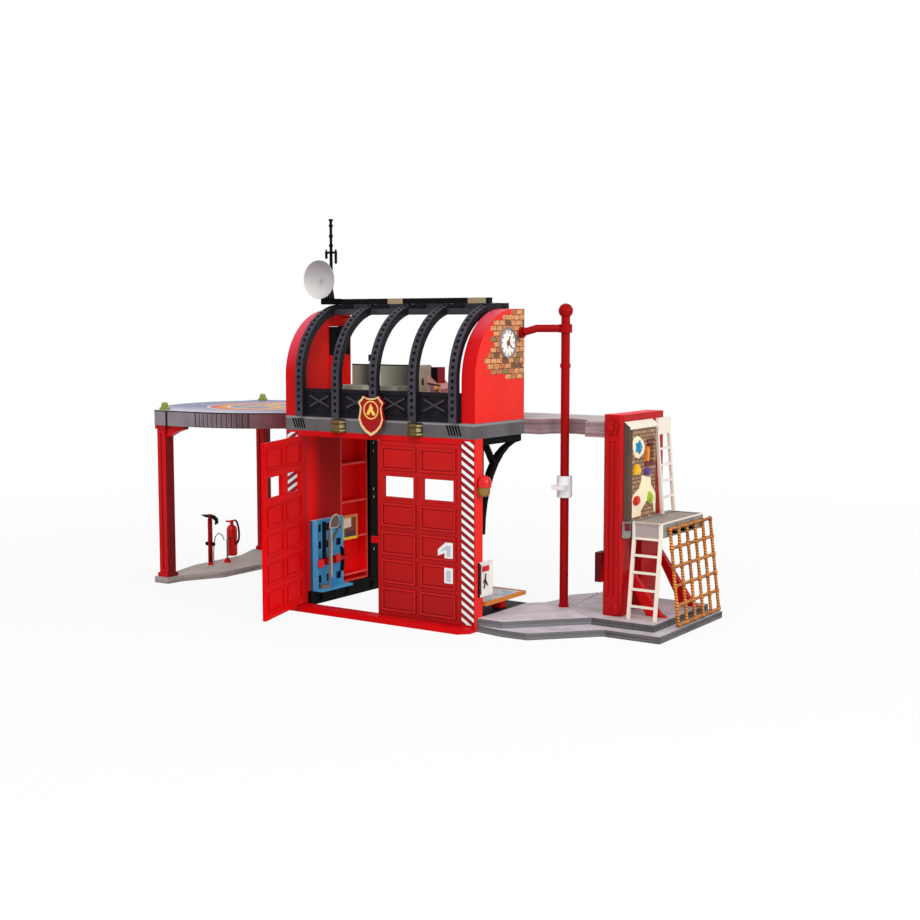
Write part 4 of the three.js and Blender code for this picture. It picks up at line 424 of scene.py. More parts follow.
def pad_top():
    """Helipad top with a plain ring and letter H as on any landing place."""
    shader = Shader("pad_top", (136, 140, 176), 0.3, soft=False)
    x, y, _ = shader.axes()
    dx = x - PAD_CENTRE[0]
    dy = y - PAD_CENTRE[1]
    radius = (dx ** 2.0 + dy ** 2.0).root()
    wide = abs(dx)
    tall = abs(dy)
    legs = wide.inside(*LETTER_SIDES) * (tall < LETTER_TALL)
    bar = (wide < LETTER_SIDES[1]) * (tall < LETTER_BAR)
    shader.lay(shader.noise(34.0, 5.0).rise(0.35, 0.7, 0.4), (150, 148, 176))
    # Painted glare: the top turns near-white towards its front edge.
    shader.lay(y.ramp(0.75, 0.0, *PAD_GLARE), (232, 228, 240))
    shader.lay(radius.inside(PAD_RING[0] - PAD_HALO, PAD_RING[1] + PAD_HALO), (250, 232, 222))
    glow = shader.mix(radius.rise(*PAD_RING), (250, 176, 70), (214, 16, 40))
    shader.lay(radius.inside(*PAD_RING), glow)
    shader.lay(legs | bar, (248, 190, 50))
    return shader.finish(0.5, 0.5)


RIM_SLOT = mm(-279.2, -276.4)
RIM_RIBS = mm(-239.0, -179.0)
RIM_PITCH = 5.15 * MM
RIM_RED_REFLECTION = mm(-225.0, -140.0)
RIM_LIP_SHADOW = 176.2 * MM


def pad_rim():
    """Grey rim: paler at the front block, ribs in two tones, a painted red reflection near the building,
    and a painted shadow line under the top's lip.
    """
    shader = Shader("pad_rim", (146, 134, 142), 0.25)
    x, _, z = shader.axes()
    wave = ((x - RIM_RIBS[0]) / RIM_PITCH).fract()
    shader.lay(shader.noise(70.0, 4.0).rise(0.35, 0.7, 0.5), (104, 98, 106))
    # Painted reflection of the red building.
    shader.lay(x.rise(*RIM_RED_REFLECTION), (108, 2, 14))
    shader.lay(x.inside(*RIM_RIBS) * (wave < 0.42) * 0.85, (36, 32, 36))
    shader.lay(x.inside(*RIM_SLOT), BLACK)
    # Painted shadow under the overhanging top.
    shader.lay(z > RIM_LIP_SHADOW, (30, 28, 34))
    return shader.finish(0.5, 0.4)


SIDE_WALL_LIT = mm(20.0, 34.0)
SIDE_WALL_RIB = 2.6 * MM


def side_wall_tone():
    """Bright red at the front and deeper behind, as painted light and shade, and finely ribbed behind."""
    shader = Shader("side_wall_red", RED_INNER_LIT, 0.05)
    y = shader.axes()[1]
    ribs = (y / SIDE_WALL_RIB).fract() > 0.5
    # Painted shade deepens the wall towards its back.
    shader.lay(y.rise(*SIDE_WALL_LIT), shader.mix(ribs * 0.35, (188, 20, 18), (150, 14, 14)))
    return shader.finish(0.5, 0.2)


DOORWAY_SHADE_LEVEL = 238.0 * MM
PAINT_WAVE = 8.0 * MM


def doorway_shaded():
    """Red frame, black in its upper part as painted shade."""
    shader = Shader("doorway_paint", RED_INNER_LIT, 0.05)
    # Painted shade: black above a wavy line.
    shader.lay(shader.axes()[2] + shader.noise(90.0, 2.0) * PAINT_WAVE > DOORWAY_SHADE_LEVEL, BLACK)
    return shader.finish(0.6, 0.3)


SHEET_SQUARES = mm(7.3, 9.1)


def table_sheet():
    """Pale table top with a faint plan drawn as plain lines."""
    shader = Shader("table_sheet", (214, 220, 222), 0.3, soft=False)
    x, y, _ = shader.axes()
    lines_x = (x / SHEET_SQUARES[0]).fract().inside(0.0, 0.07)
    lines_y = (y / SHEET_SQUARES[1]).fract().inside(0.0, 0.06)
    shader.lay(shader.noise(95.0, 1.0) > 0.56, (150, 178, 196))
    shader.lay(lines_x | lines_y, (244, 244, 240))
    return shader.finish(0.5, 0.2)


PICTURE_PALE = 71.5 * MM
PICTURE_DARK = 67.0 * MM
PICTURE_SIDE = 77.5 * MM
PICTURE_WAVE = 9.0 * MM


def picture_field():
    """A plain abstract card: a pale patch over brown and dark bands."""
    shader = Shader("picture_card", (120, 44, 24), 0.3, soft=False)
    _, y, z = shader.axes()
    level = z + shader.noise(160.0, 3.0) * PICTURE_WAVE
    shader.lay(level > PICTURE_PALE, (250, 222, 206))
    shader.lay(y > PICTURE_SIDE, (132, 46, 20))
    shader.lay(level < PICTURE_DARK, (64, 16, 44))
    return shader.finish(0.5, 0.2)


SCREEN_SPLIT = -31.0 * MM
SCREEN_FOOT = 208.5 * MM
SCREEN_RIM = 226.4 * MM
SCREEN_RIB = 1.9 * MM
SMALL_SCREEN = mm(-54.0, -40.0)
WIDE_SCREEN = mm(-22.0, 6.0)


def console_tone():
    """Screens with painted shade from a dark edge to a paler middle, crossed by fine darker lines, with a
    black top rim.
    """
    shader = Shader("console_grey", (66, 60, 52), 0.3)
    x, _, z = shader.axes()
    left = x < SCREEN_SPLIT
    # Painted shade across each screen, darker at its edge and paler in its middle.
    tone = left * x.ramp(1.0, 0.0, *SMALL_SCREEN) + (1.0 - left) * x.ramp(1.0, 0.0, *WIDE_SCREEN)
    tone = tone - ((x / SCREEN_RIB).fract() > 0.6) * 0.12
    shader.lay(tone | (z < SCREEN_FOOT) * 0.62, (200, 194, 176))
    shader.lay(z > SCREEN_RIM, BLACK)
    return shader.finish(0.5, 0.4)


BAND_HIGHLIGHT = mm(177.6, 179.6)


def band_tone():
    """Mottled grey floor band with a painted highlight strip along it."""
    shader = Shader("band_grey", (100, 101, 102), 0.3)
    x, y, z = shader.axes()
    shader.lay(shader.noise(45.0, 4.0, shader.vector(x, y, z * 0.35)).rise(0.4, 0.65, 0.8), (82, 76, 78))
    # Painted highlight: a paler strip along the band.
    shader.lay(z.inside(*BAND_HIGHLIGHT), (140, 140, 146))
    return shader.finish(0.45, 0.4)


def rib_tone():
    """Charcoal frame whose narrow outer faces, turned to the front and up, are a paler grey as painted
    light.
    """
    shader = Shader("rib_grey", CHARCOAL, 0.1)
    nx, ny, nz = shader.faces()
    facing = (abs(nx) < 0.5) * (ny < 0.35) * (nz - ny > 0.2)
    # Painted light on the faces turned to the front and up.
    shader.lay(facing * shader.noise(80.0, 3.0).ramp(0.5, 1.0, 0.35, 0.65), (70, 67, 77))
    return shader.finish(0.42, 0.4)


ROPE_LAY = 2.6 * MM
ROPE_DEPTH = 0.35 * MM


def rope_material():
    """Orange rope laid in slanted strands along the piece's own length, with painted shade in the creases
    between strands and on each strand's side turned from the light.
    """
    shader = Shader("rope_laid", ROPE_DARK, 0.3, soft=False)
    u, v, _ = shader.axes(shader.new("UVMap").outputs[0])
    twist = abs((u / ROPE_LAY + v).fract() - 0.5)
    away = [n * share for n, share in zip(shader.faces(), ROPE_SHADE_SIDE)]
    # Painted shade: dark creases between the twists.
    shader.lay(twist.rise(0.08, 0.30), (236, 146, 44))
    shader.lay(shader.noise(120.0, 3.0).rise(0.45, 0.7, 0.7), ROPE_DARK)
    # Painted shade on the side turned from the light.
    shader.lay((away[0] + away[1] + away[2]).rise(0.15, 0.55, 0.9), (70, 22, 8))
    shader.finish(0.5, 0.4)
    shader.bump(twist.rise(0.0, 0.35), 0.8, ROPE_DEPTH)
    return shader.material


CABINET_SPLIT = 34.0 * MM
DISH_SHADE_LEVELS = mm(292.0, 320.0)
RACK_EDGE = -88.0 * MM
RAIL_INSERTS = (mm(-21.0, -4.0), mm(67.0, 86.0))
DOOR_TOP = 165.0 * MM
cabinet_salmon = two_tone("salmon", (250, 182, 168), (196, 176, 152),
                          lambda x, y, z: x < CABINET_SPLIT, 0.2, 0.5, 0.3, 0.25)
# Dish: painted shade, darker towards the top.
dish_grey = two_tone("dish_grey", (222, 218, 216), (160, 150, 154),
                     lambda x, y, z: z.rise(*DISH_SHADE_LEVELS), 0.2, 0.5, 0.2, 0.2, soft=False)
# Rack side: darker blue, with a painted highlight along its edge by the board's face.
rack_side = two_tone("rack_side", (24, 96, 138), BLUE,
                     lambda x, y, z: x > RACK_EDGE, 0.3, 0.45)
rail_inserts = two_tone("rail_inserts", BLACK, (164, 144, 112),
                        lambda x, y, z: x.inside(*RAIL_INSERTS[0]) | x.inside(*RAIL_INSERTS[1]),
                        0.06, 0.45, 0.4)


def door_tone(name, low, high, specular=0.12):
    """Red leaf whose colour goes from its foot colour to its top colour, as painted light and shade."""
    return two_tone(name, low, high, lambda x, y, z: z.rise(0.0, DOOR_TOP), specular, 0.42, 0.2)


# Materials on the CAD nodes

def assign(node, base, rules=()):
    """Gives a CAD node its base material, and others to the faces that a rule picks."""
    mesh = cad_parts[node].data
    mesh.materials.clear()
    mesh.materials.append(base)
    for _, material in rules:
        mesh.materials.append(material)
    for polygon in mesh.polygons:
        polygon.material_index = 0
        for index, (test, _) in enumerate(rules):
            if test(polygon.center / MM, polygon.normal):
                polygon.material_index = index + 1


def box_mm(node):
    low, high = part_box(node)
    return low / MM, high / MM


PLAIN = {
    red: "threshold_ramp door_latch rack_coupling brace_front brace_rear",
    pole_red: "slide_pole pole_arm",
    charcoal: "parapet microphone antenna_mast dish_arm table_base",
    black: "side_wall_rail arch_bracket",
    cabinet_salmon: "sloped_cabinet",
    dish_grey: "dish",
    rail_inserts: "roof_rail",
    striped_red(): "front_frame",
    end_wall_print(): "right_end_wall",
    doorway_shaded(): "doorway_frame",
    side_wall_tone(): "left_side_wall",
    rib_tone(): "roof_frame",
    console_tone(): "console_desk",
    cream: "upper_ladder",
    white: "pole_slider",
    lamp_green: "helipad_lamp_front helipad_lamp_rear",
    plastic("lamp_red", (214, 14, 20), 0.22, 0.05, 0.3, 0.1, 0.15): "alarm_dome",
    hose_grey: "rack_hose",
}
for material, names in PLAIN.items():
    for name in names.split():
        assign(name, material)

HINGE_X = 88.7
HINGE_Y = 2.0
LEFT_OPEN = math.radians(-72.5)
OUT_OF_LEFT = Vector((math.sin(LEFT_OPEN), -math.cos(LEFT_OPEN), 0.0))


def behind_left(c):
    """How far a point lies behind the left leaf's front face."""
    return HINGE_Y - (c - Vector((-HINGE_X, HINGE_Y, 0.0))).dot(OUT_OF_LEFT)


LEAF_TIP = -81.0
LEAF_SPAN = (3.0, 88.0)
GROOVE_DEPTH = 1.0
SHELF_BACK = -92.0
POST_PAPER = (-99.5, -88.5)

# Painted light and shade: the left leaf's inner face is a brighter red than its outer face, and darkens
# towards its top.
leaf_red = door_tone("leaf_red", (234, 4, 12), (212, 6, 10), 0.02)
# Painted shade: the outer faces and the right leaf are a deeper red, darkest at the foot.
leaf_deep = door_tone("leaf_deep", (170, 16, 16), (196, 22, 22))
assign("left_door_leaf", leaf_red, [
    (lambda c, n: n.dot(OUT_OF_LEFT) > 0.5, leaf_deep),
    # Painted shade on the groove walls.
    (lambda c, n: abs(n.dot(OUT_OF_LEFT)) < 0.5 and c.y > LEAF_TIP and behind_left(c) < GROOVE_DEPTH,
     red_groove),
])
assign("right_door_leaf", leaf_deep, [
    # Painted shade on the groove walls.
    (lambda c, n: abs(n.y) < 0.5 and LEAF_SPAN[0] < c.x < LEAF_SPAN[1] and c.y < GROOVE_DEPTH, red_groove),
])
# Painted light: the left end wall's inner faces are a brighter red.
wall_bright = plastic("wall_bright", (250, 26, 16), 0.5, 0.2, 0.12)
assign("left_end_wall", arched_red(), [(lambda c, n: n.x > 0.5, wall_bright)])
# Painted shade: the posts' faces turned right are a deeper red.
for name in ("helipad_post_front", "helipad_post_rear"):
    assign(name, red, [(lambda c, n: n.x > 0.5, red_dark)])
# Painted light: the shelves are a brighter red, with a painted highlight on their front edges.
assign("shelf_unit", plastic("inner_red", RED_INNER_LIT, 0.5, 0.2, 0.06), [
    (lambda c, n: n.x > 0.9 and c.x > SHELF_BACK, plastic("shelf_edge_highlight", (250, 84, 76), 0.5, 0.2, 0.1)),
])
assign("rear_post", black, [(lambda c, n: abs(n.x) > 0.9 and POST_PAPER[0] < c.x < POST_PAPER[1], paper)])
# Pale top colour for the walls of the gap between platform and tower base: painted light that hides the
# gap's shade.
seam = plastic("seam_stone", STONE_TOP, 0.6, 0.4, 0.2)
# Deck sides: the grey stone is tinted red, a painted reflection of the red parts beside it.
deck = stone("deck_stone", (206, 194, 196), (142, 108, 112), (96, 84, 90), *mm(60.0, 16.0), 0.35)
platform = stone("platform_stone", STONE_TOP, (92, 92, 94), (84, 82, 86), *mm(400.0, 60.0), 0.15)
tower = stone("tower_stone", (206, 198, 204), (70, 66, 66), (36, 32, 32), *mm(22.0, 3.0), 0.15)
base = stone("base_stone", (206, 196, 188), (150, 140, 140), (96, 88, 92), *mm(18.0, 3.0), 0.5)
assign("rear_deck", deck)
assign("helipad_base", base)
# Painted light on the gap's walls.
assign("pole_platform", platform, [(lambda c, n: abs(n.z) < 0.3 and n.x > 0.5 and n.y > 0.1, seam)])
assign("tower_base", tower, [(lambda c, n: abs(n.z) < 0.3 and n.x < -0.5 and n.y < -0.1, seam)])

# From here on, low and high are the box of the node that the next rules are for.

SKIN = 0.5
RECESS = 0.3

VENT_DEPTHS = (0.05, 1.6)
VENT_START = 60.0
VENT_LOW = 2.0
low, high = box_mm("upper_floor")
assign("upper_floor", band_tone(), [
    (lambda c, n: VENT_DEPTHS[0] < c.y < VENT_DEPTHS[1] and abs(c.x) > VENT_START
     and c.z > low.z + VENT_LOW, black),
])
for name in ("band_lamp_left", "band_lamp_right"):
    assign(name, plastic("bronze_" + name, (104, 86, 34), 0.3, 0.3, 0.5, 0.4, 0.1, 0.4), [
        # Painted highlight on the lamps' sides.
        (lambda c, n: abs(n.x) > 0.75, plastic("lamp_shine_" + name, (178, 164, 118), 0.35)),
    ])

COPING_LOW = 174.6
STRIP_WIDTH = 7.05
STRIP_DEPTH = 0.2
HOLD_REACH = 9.0
HOLDS = (
    (96.8, 158.3, plastic("hold_blue", (30, 140, 190))),
    (94.6, 138.6, plastic("hold_yellow", (240, 184, 36))),
    (115.0, 135.6, plastic("hold_purple", (104, 62, 140))),
    (93.4, 111.9, plastic("hold_red", (206, 40, 20))),
    (119.7, 112.4, plastic("hold_green", (158, 186, 40))),
)
low, high = box_mm("climbing_wall")
WALL_FACE = low.x + 3.7


def hold_rule(y, z):
    return lambda c, n: math.hypot(c.y - y, c.z - z) < HOLD_REACH and c.x > WALL_FACE + 0.02


grey_strip = plastic("grey_strip", (90, 72, 60), 0.6, 0.5, 0.15, 0.4)
assign("climbing_wall", climbing_brick(), [(hold_rule(y, z), m) for y, z, m in HOLDS] + [
    (lambda c, n: c.z > COPING_LOW, cream),
    (lambda c, n: c.y < low.y + STRIP_WIDTH and c.x > low.x + STRIP_DEPTH, grey_strip),
])

low, high = box_mm("helipad_deck")
assign("helipad_deck", pad_rim(), [(lambda c, n: n.z > 0.9 and c.z > high.z - SKIN, pad_top())])

TABLE_RIM = 2.0
TABLE_TOP = 3.4
low, high = box_mm("table")
assign("table", plastic("orange_wood", (222, 134, 48), 0.5, 0.3, 0.3, 0.2), [
    (lambda c, n: c.z < high.z - TABLE_TOP and n.z < 0.5, red),
    (lambda c, n: n.z > 0.9 and low.x + TABLE_RIM < c.x < high.x - TABLE_RIM
     and low.y + TABLE_RIM < c.y < high.y - TABLE_RIM, table_sheet()),
])

TOWER_GROOVES = 150.0
TOWER_FRONT = 4.0
TOWER_RIM = 1.5
TOWER_POST = 3.5
BOX_WIDTH = 5.3
low, high = box_mm("tower_frame")
assign("tower_frame", plastic("red_tower", (182, 10, 14), 0.45, 0.2, 0.12), [
    # Painted sheen: pale pink on the top faces.
    (lambda c, n: n.z > 0.7, plastic("tower_top_sheen", (255, 72, 86), 0.5, 0.2, 0.05)),
    # Painted shade on the star relief's side facets.
    (lambda c, n: c.y < low.y + TOWER_FRONT and c.z > TOWER_GROOVES and -0.97 < n.y < 0.3
     and abs(n.z) < 0.97, red_groove),
    (lambda c, n: c.x < low.x + BOX_WIDTH, plastic("tower_box", (84, 6, 18), 0.5, 0.2, 0.1)),
    # Painted shade on the walls of the front grooves.
    (lambda c, n: abs(n.x) > 0.5 and c.y < low.y + TOWER_POST
     and low.x + TOWER_RIM < c.x < high.x - TOWER_RIM, red_groove),
])

LANDING_END = 239.7
LADDER_LOW = 82.5
LADDER_RAIL = 3.5
assign("landing", landing_stone(), [(lambda c, n: c.x > LANDING_END, black)])
low, high = box_mm("lower_ladder")
assign("lower_ladder", cream, [
    (lambda c, n: n.y < -0.5 and c.z > LADDER_LOW and low.x + LADDER_RAIL < c.x < high.x - LADDER_RAIL,
     plastic("ladder_stone", (170, 154, 152), 0.6, 0.4, 0.2)),
])

FRAME_FOOT = 3.5
FRAME_SIDE = 3.2
low, high = box_mm("framed_picture")
# Painted light and shade: the frame's foot and front side are a paler yellow, the rest a darker orange.
assign("framed_picture", plastic("frame_orange", (226, 128, 40), 0.4), [
    (lambda c, n: c.z < low.z + FRAME_FOOT or c.y < low.y + FRAME_SIDE,
     plastic("frame_yellow", (250, 206, 30), 0.4)),
    (lambda c, n: n.x > 0.9 and c.x < high.x - RECESS, picture_field()),
])
low, BOARD_HIGH = box_mm("notice_board")
assign("notice_board", paper, [(lambda c, n: n.y < -0.5 and c.y < low.y + SKIN, black)])
low, high = box_mm("clock")
DIAL_FACE = high.x - 0.9
assign("clock", plastic("clock_rim", (150, 138, 134), 0.45, 0.4, 0.4, 0.5), [
    (lambda c, n: n.x > 0.9 and c.x < high.x - RECESS, plastic("clock_face", (250, 248, 244), 0.5)),
])

RIM_FACE = 0.3
RIM_SIDE = 0.9
low, high = box_mm("shield")
SHIELD_FACE = low.y + 0.8
assign("shield", plastic("shield_red", (164, 4, 14), 0.36, 0.2, 0.2, 0.15), [
    (lambda c, n: c.y < low.y + RIM_FACE or (abs(n.y) < 0.5 and c.y < low.y + RIM_SIDE),
     plastic("shield_rim", (236, 204, 140), 0.3, 0.2, 0.5, 0.1, 0.1)),
])

RACK_TOP = 1.0
RACK_FOOT = 6.0
POCKET = (0.5, 2.9, 21.0, 59.0, 19.0, 76.0)
low, high = box_mm("tool_rack")
RACK_FACE = high.x


def in_pocket(c, _):
    x0, x1, y0, y1, z0, z1 = POCKET
    return x0 < c.x - low.x < x1 and y0 < c.y < y1 and z0 < c.z < z1


assign("tool_rack", plastic("rack_blue", (62, 166, 224), 0.45, 0.25, 0.2), [
    # Painted shade: the pockets are navy.
    (in_pocket, plastic("pocket_navy", (12, 26, 66), 0.6)),
    # The front side: darker blue with a painted highlight along its edge.
    (lambda c, n: n.y < -0.5 and c.y < low.y + SKIN, rack_side),
    # Painted highlight: the top faces are near white.
    (lambda c, n: n.z > 0.7 and c.z > high.z - RACK_TOP, plastic("rack_top_highlight", (226, 236, 244), 0.5)),
    (lambda c, n: abs(n.z) > 0.7 and c.z < low.z + RACK_FOOT, plastic("blue_satin", BLUE, 0.45)),
])

AXE_HEAD = 42.0
AXE_SHAFT = (13.2, 2.0)
AXE_FOOT = 4.2
low, high = box_mm("axe")
assign("axe", red_dark, [
    (lambda c, n: c.z > low.z + AXE_HEAD and abs(c.x - low.x - AXE_SHAFT[0]) > AXE_SHAFT[1], black),
    (lambda c, n: c.z < low.z + AXE_FOOT, red),
])

BELL_CAP = 1.8
low, high = box_mm("bell")
assign("bell", gold, [(lambda c, n: c.z > high.z - BELL_CAP, red)])
assign("radio_box", black, [(lambda c, n: n.x > 0.5, plastic("radio_face", (196, 12, 44), 0.4, 0.25, 0.1))])
assign("alarm_base", plastic("alarm_gold", (158, 116, 40), 0.32, 0.3, 0.5, 0.4, 0.1, 0.3))

BOTTLE = (-303.0, 137.0)
STAND = (-296.0, 122.0)
BOTTLE_REACH = 5.95
ROD_REACH = 1.6
FOOT_TOP = 11.5
FOOT_REACH = 5.5
CLIP = (28.0, 34.0)
CLIP_FRONT = 5.0
HOSE_START = 4.0


def off_stand(c):
    return math.hypot(c.x - STAND[0], c.y - STAND[1])


def beside_bottle(c):
    return math.hypot(c.x - BOTTLE[0], c.y - BOTTLE[1]) > BOTTLE_REACH


def on_clip(c, _):
    near = off_stand(c) > ROD_REACH and c.y < BOTTLE[1] - CLIP_FRONT
    return near and beside_bottle(c) and CLIP[0] < c.z < CLIP[1]


assign("extinguisher", plastic("bottle_red", (226, 14, 18), 0.3, 0.1, 0.2), [
    (lambda c, n: beside_bottle(c) and c.x > BOTTLE[0] + HOSE_START and off_stand(c) > FOOT_REACH, black),
    (on_clip, plastic("clip_brown", (96, 52, 44), 0.5)),
    (lambda c, n: off_stand(c) < ROD_REACH and c.z > FOOT_TOP, hose_grey),
    (lambda c, n: off_stand(c) < FOOT_REACH and c.z < FOOT_TOP, red),
])


# Mesh helpers

SUNK = -0.1
LIFT = 0.02


def add_object(name, data):
    added = bpy.data.objects.new(name, data)
    bpy.context.scene.collection.objects.link(added)
    return added


class Build:
    """Collects plates and tubes into one mesh."""

    def __init__(self):
        self.points = []
        self.faces = []

    def face(self, *corners, uvs=None, part=0):
        self.faces.append((corners, uvs or [(0.0, 0.0)] * len(corners), part))

    def levels(self, outlines, to_point, low, high):
        """Adds the points of outlines at two levels, and gives the first one's number."""
        start = len(self.points)
        for level in (low, high):
            for outline in outlines:
                self.points += [Vector(to_point(u, v, level)) for u, v in outline]
        return start

    def plate(self, outline, to_point, low, high):
        """An outline of (u, v) pushed from low to high."""
        start = self.levels([outline], to_point, low, high)
        count = len(outline)
        self.face(*reversed(range(start, start + count)))
        self.face(*range(start + count, start + 2 * count))
        for i in range(count):
            a, b = start + i, start + (i + 1) % count
            self.face(a, b, b + count, a + count, part=1)

    def ring(self, outer, inner, to_point, low, high):
        """A closed band between two outlines with as many points each."""
        start = self.levels([outer, inner], to_point, low, high)
        count = len(outer)
        up = 2 * count
        for i in range(count):
            a, b = start + i, start + (i + 1) % count
            c, d = a + count, b + count
            self.face(a, c, d, b)
            self.face(a + up, b + up, d + up, c + up)
            self.face(a, b, b + up, a + up, part=1)
            self.face(c, c + up, d + up, d, part=1)

    def tube(self, path, radii, sides):
        """A closed tube along a path, with one radius or one for each point."""
        start = len(self.points)
        rings = len(path)
        along = 0.0
        lengths = []
        for index, point in enumerate(path):
            before = path[max(index - 1, 0)]
            after = path[min(index + 1, rings - 1)]
            direction = (after - before).normalized()
            across = across - direction * across.dot(direction) if index else direction.orthogonal()
            across.normalize()
            side = direction.cross(across)
            along += (point - before).length
            lengths.append(along)
            radius = radii if isinstance(radii, float) else radii[index]
            for k in range(sides):
                angle = 2 * math.pi * k / sides
                self.points.append(point + (across * math.cos(angle) + side * math.sin(angle)) * radius)
        for index in range(rings - 1):
            for k in range(sides):
                n = (k + 1) % sides
                a = start + index * sides
                b = a + sides
                u0, u1 = lengths[index], lengths[index + 1]
                v0, v1 = k / sides, (k + 1) / sides
                self.face(a + k, a + n, b + n, b + k, uvs=[(u0, v0), (u0, v1), (u1, v1), (u1, v0)])
        self.face(*reversed(range(start, start + sides)))
        self.face(*range(start + (rings - 1) * sides, start + rings * sides))

    def make(self, name, material, slot, body="station", smooth=False, sides=None):
        """The mesh as an object on a body. Its side faces take the other material, if one is given."""
        mesh = bpy.data.meshes.new(name)
        mesh.from_pydata([tuple(p) for p in self.points], [], [corners for corners, _, _ in self.faces])
        layer = mesh.uv_layers.new(name="UVMap")
        for corner, uv in zip(layer.data, [uv for _, uvs, _ in self.faces for uv in uvs]):
            corner.uv = uv
        mesh.materials.append(material)
        if sides:
            mesh.materials.append(sides)
        for polygon, (_, _, part) in zip(mesh.polygons, self.faces):
            polygon.use_smooth = smooth
            polygon.material_index = part if sides else 0
        shape = bmesh.new()
        shape.from_mesh(mesh)
        bmesh.ops.recalc_face_normals(shape, faces=shape.faces)
        shape.to_mesh(mesh)
        shape.free()
        obj = add_object(name, mesh)
        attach(obj, body)
        return obj


def on_front(y):
    """Outline (x, z) in millimetres on a plane that faces the front."""
    return lambda u, v, level: (u * MM, (y - level) * MM, v * MM)


def on_right(x):
    """Outline (y, z) in millimetres on a plane that faces right."""
    return lambda u, v, level: ((x + level) * MM, u * MM, v * MM)


def circle(cu, cv, radius, sides):
    turn = 2 * math.pi / sides
    return [(cu + math.cos(turn * k) * radius, cv + math.sin(turn * k) * radius) for k in range(sides)]


def rectangle(low_u, low_v, high_u, high_v):
    return [(low_u, low_v), (high_u, low_v), (high_u, high_v), (low_u, high_v)]


def at(x, y, z):
    return Vector((x, y, z)) * MM


def plates(name, material, slot, to_point, low, high, *outlines, body="station", sides=None):
    """A piece made of plates on one plane, from low to high."""
    build = Build()
    for outline in outlines:
        build.plate(outline, to_point, low, high)
    build.make(name, material, slot, body, sides=sides)


def add_ball(build, x, y, z, radius, shares, sides):
    """A ball made as a tube along z, with a ring at each share of its radius."""
    path = [at(x, y, z + radius * k) for k in shares]
    build.tube(path, [max(math.sqrt(1.0 - k * k), 0.05) * radius * MM for k in shares], sides)


# Raised lines in the door panels, with painted shade beside them

PANEL_STARTS = (3.0, 45.45)
PANEL_WIDTH = 38.25
PANEL_HEIGHT = 22.05
PANEL_FIRST = 8.35
PANEL_PITCH = 25.35
PANEL_ROWS = 6
WINDOW_ROW = 4
PANEL_FACE = -0.1
RIDGE_INSET = 0.7
RIDGE_END = RIDGE_INSET + 1.7
RIDGE_HEIGHT = 0.6
RIDGE_SHADE = 0.65
SHADE_HEIGHT = 0.04
RING_SUNK = -0.2
INNER_FACE = 3.6
INNER_INSET = 2.4
INNER_WIDTH = 1.1
INNER_HEIGHT = 0.35
LATCH_ROW = 2
LATCH_HEIGHT = 0.2


def right_leaf(u, v, level):
    """From the hinge along the closed right leaf, up, and out of its front."""
    return ((HINGE_X - u) * MM, (PANEL_FACE - level) * MM, v * MM)


def left_leaf(u, v, level):
    """From the hinge along the left leaf as it stands open at rest."""
    off = PANEL_FACE - level - HINGE_Y
    x = -HINGE_X + u * math.cos(LEFT_OPEN) - off * math.sin(LEFT_OPEN)
    y = HINGE_Y + u * math.sin(LEFT_OPEN) + off * math.cos(LEFT_OPEN)
    return (x * MM, y * MM, v * MM)


def left_inside(u, v, level):
    """The same on the left leaf's inner face."""
    return left_leaf(u, v, PANEL_FACE - INNER_FACE - level)


def panel_rings(to_point, first, second, height, latch_height=None):
    """A ring between two insets in each panel of a leaf, lower beside the latch if that is given."""
    rings = Build()
    for start in PANEL_STARTS:
        for row in range(PANEL_ROWS):
            if row == WINDOW_ROW:
                continue
            low = PANEL_FIRST + row * PANEL_PITCH
            end, high = start + PANEL_WIDTH, low + PANEL_HEIGHT
            outer, inner = [
                rectangle(start + inset, low + inset, end - inset, high - inset)
                for inset in (first, second)
            ]
            by_latch = latch_height and row == LATCH_ROW and start == PANEL_STARTS[1]
            rings.ring(outer, inner, to_point, RING_SUNK, latch_height if by_latch else height)
    return rings


# The ridges' sides, the thin flat rings inside them and the back ridges' sides are painted shade.
ridge_red = plastic("ridge_red", (204, 26, 26), 0.4, 0.2, 0.12)
ridge_shade = plastic("ridge_shade", (112, 6, 10), 0.6, 0.2, 0.1)
shade_back = plastic("ridge_shade_back", (206, 6, 12), 0.5, 0.2, 0.04)
for side, to_point in (("left", left_leaf), ("right", right_leaf)):
    body = side + "_door"
    ridges = panel_rings(to_point, RIDGE_INSET, RIDGE_END, RIDGE_HEIGHT)
    ridges.make(side + "_door_ridges", ridge_red, "red_plastic", body, sides=ridge_shade)
    # Thin flat dark rings inside the ridges: painted shade.
    shades = panel_rings(to_point, RIDGE_END, RIDGE_END + RIDGE_SHADE, SHADE_HEIGHT)
    shades.make(side + "_door_shades", ridge_shade, "red_plastic", body)
back_ridges = panel_rings(left_inside, INNER_INSET, INNER_INSET + INNER_WIDTH, INNER_HEIGHT, LATCH_HEIGHT)
back_ridges.make("left_door_back_ridges", leaf_red, "red_plastic", "left_door", sides=shade_back)


# Number on the right leaf, split at the groove like a stencil

ONE_TOP = ((66.8, 69.2), (75.0, 75.9), (82.6, 75.9), (82.6, 62.0), (73.8, 62.0), (73.8, 66.4), (66.8, 63.6))
ONE_FOOT = ((73.6, 53.6), (82.6, 53.6), (82.6, 40.1), (73.6, 40.1))
ONE_CORE_TOP = ((69.2, 67.6), (76.0, 73.2), (80.2, 73.2), (80.2, 63.8), (76.2, 63.8), (76.2, 69.6))
ONE_CORE_FOOT = ((75.8, 51.6), (80.4, 51.6), (80.4, 41.8), (75.8, 41.8))
NUMBER_HEIGHT = 0.65
CORE_HEIGHT = 0.8
leaf_front = on_front(PANEL_FACE)
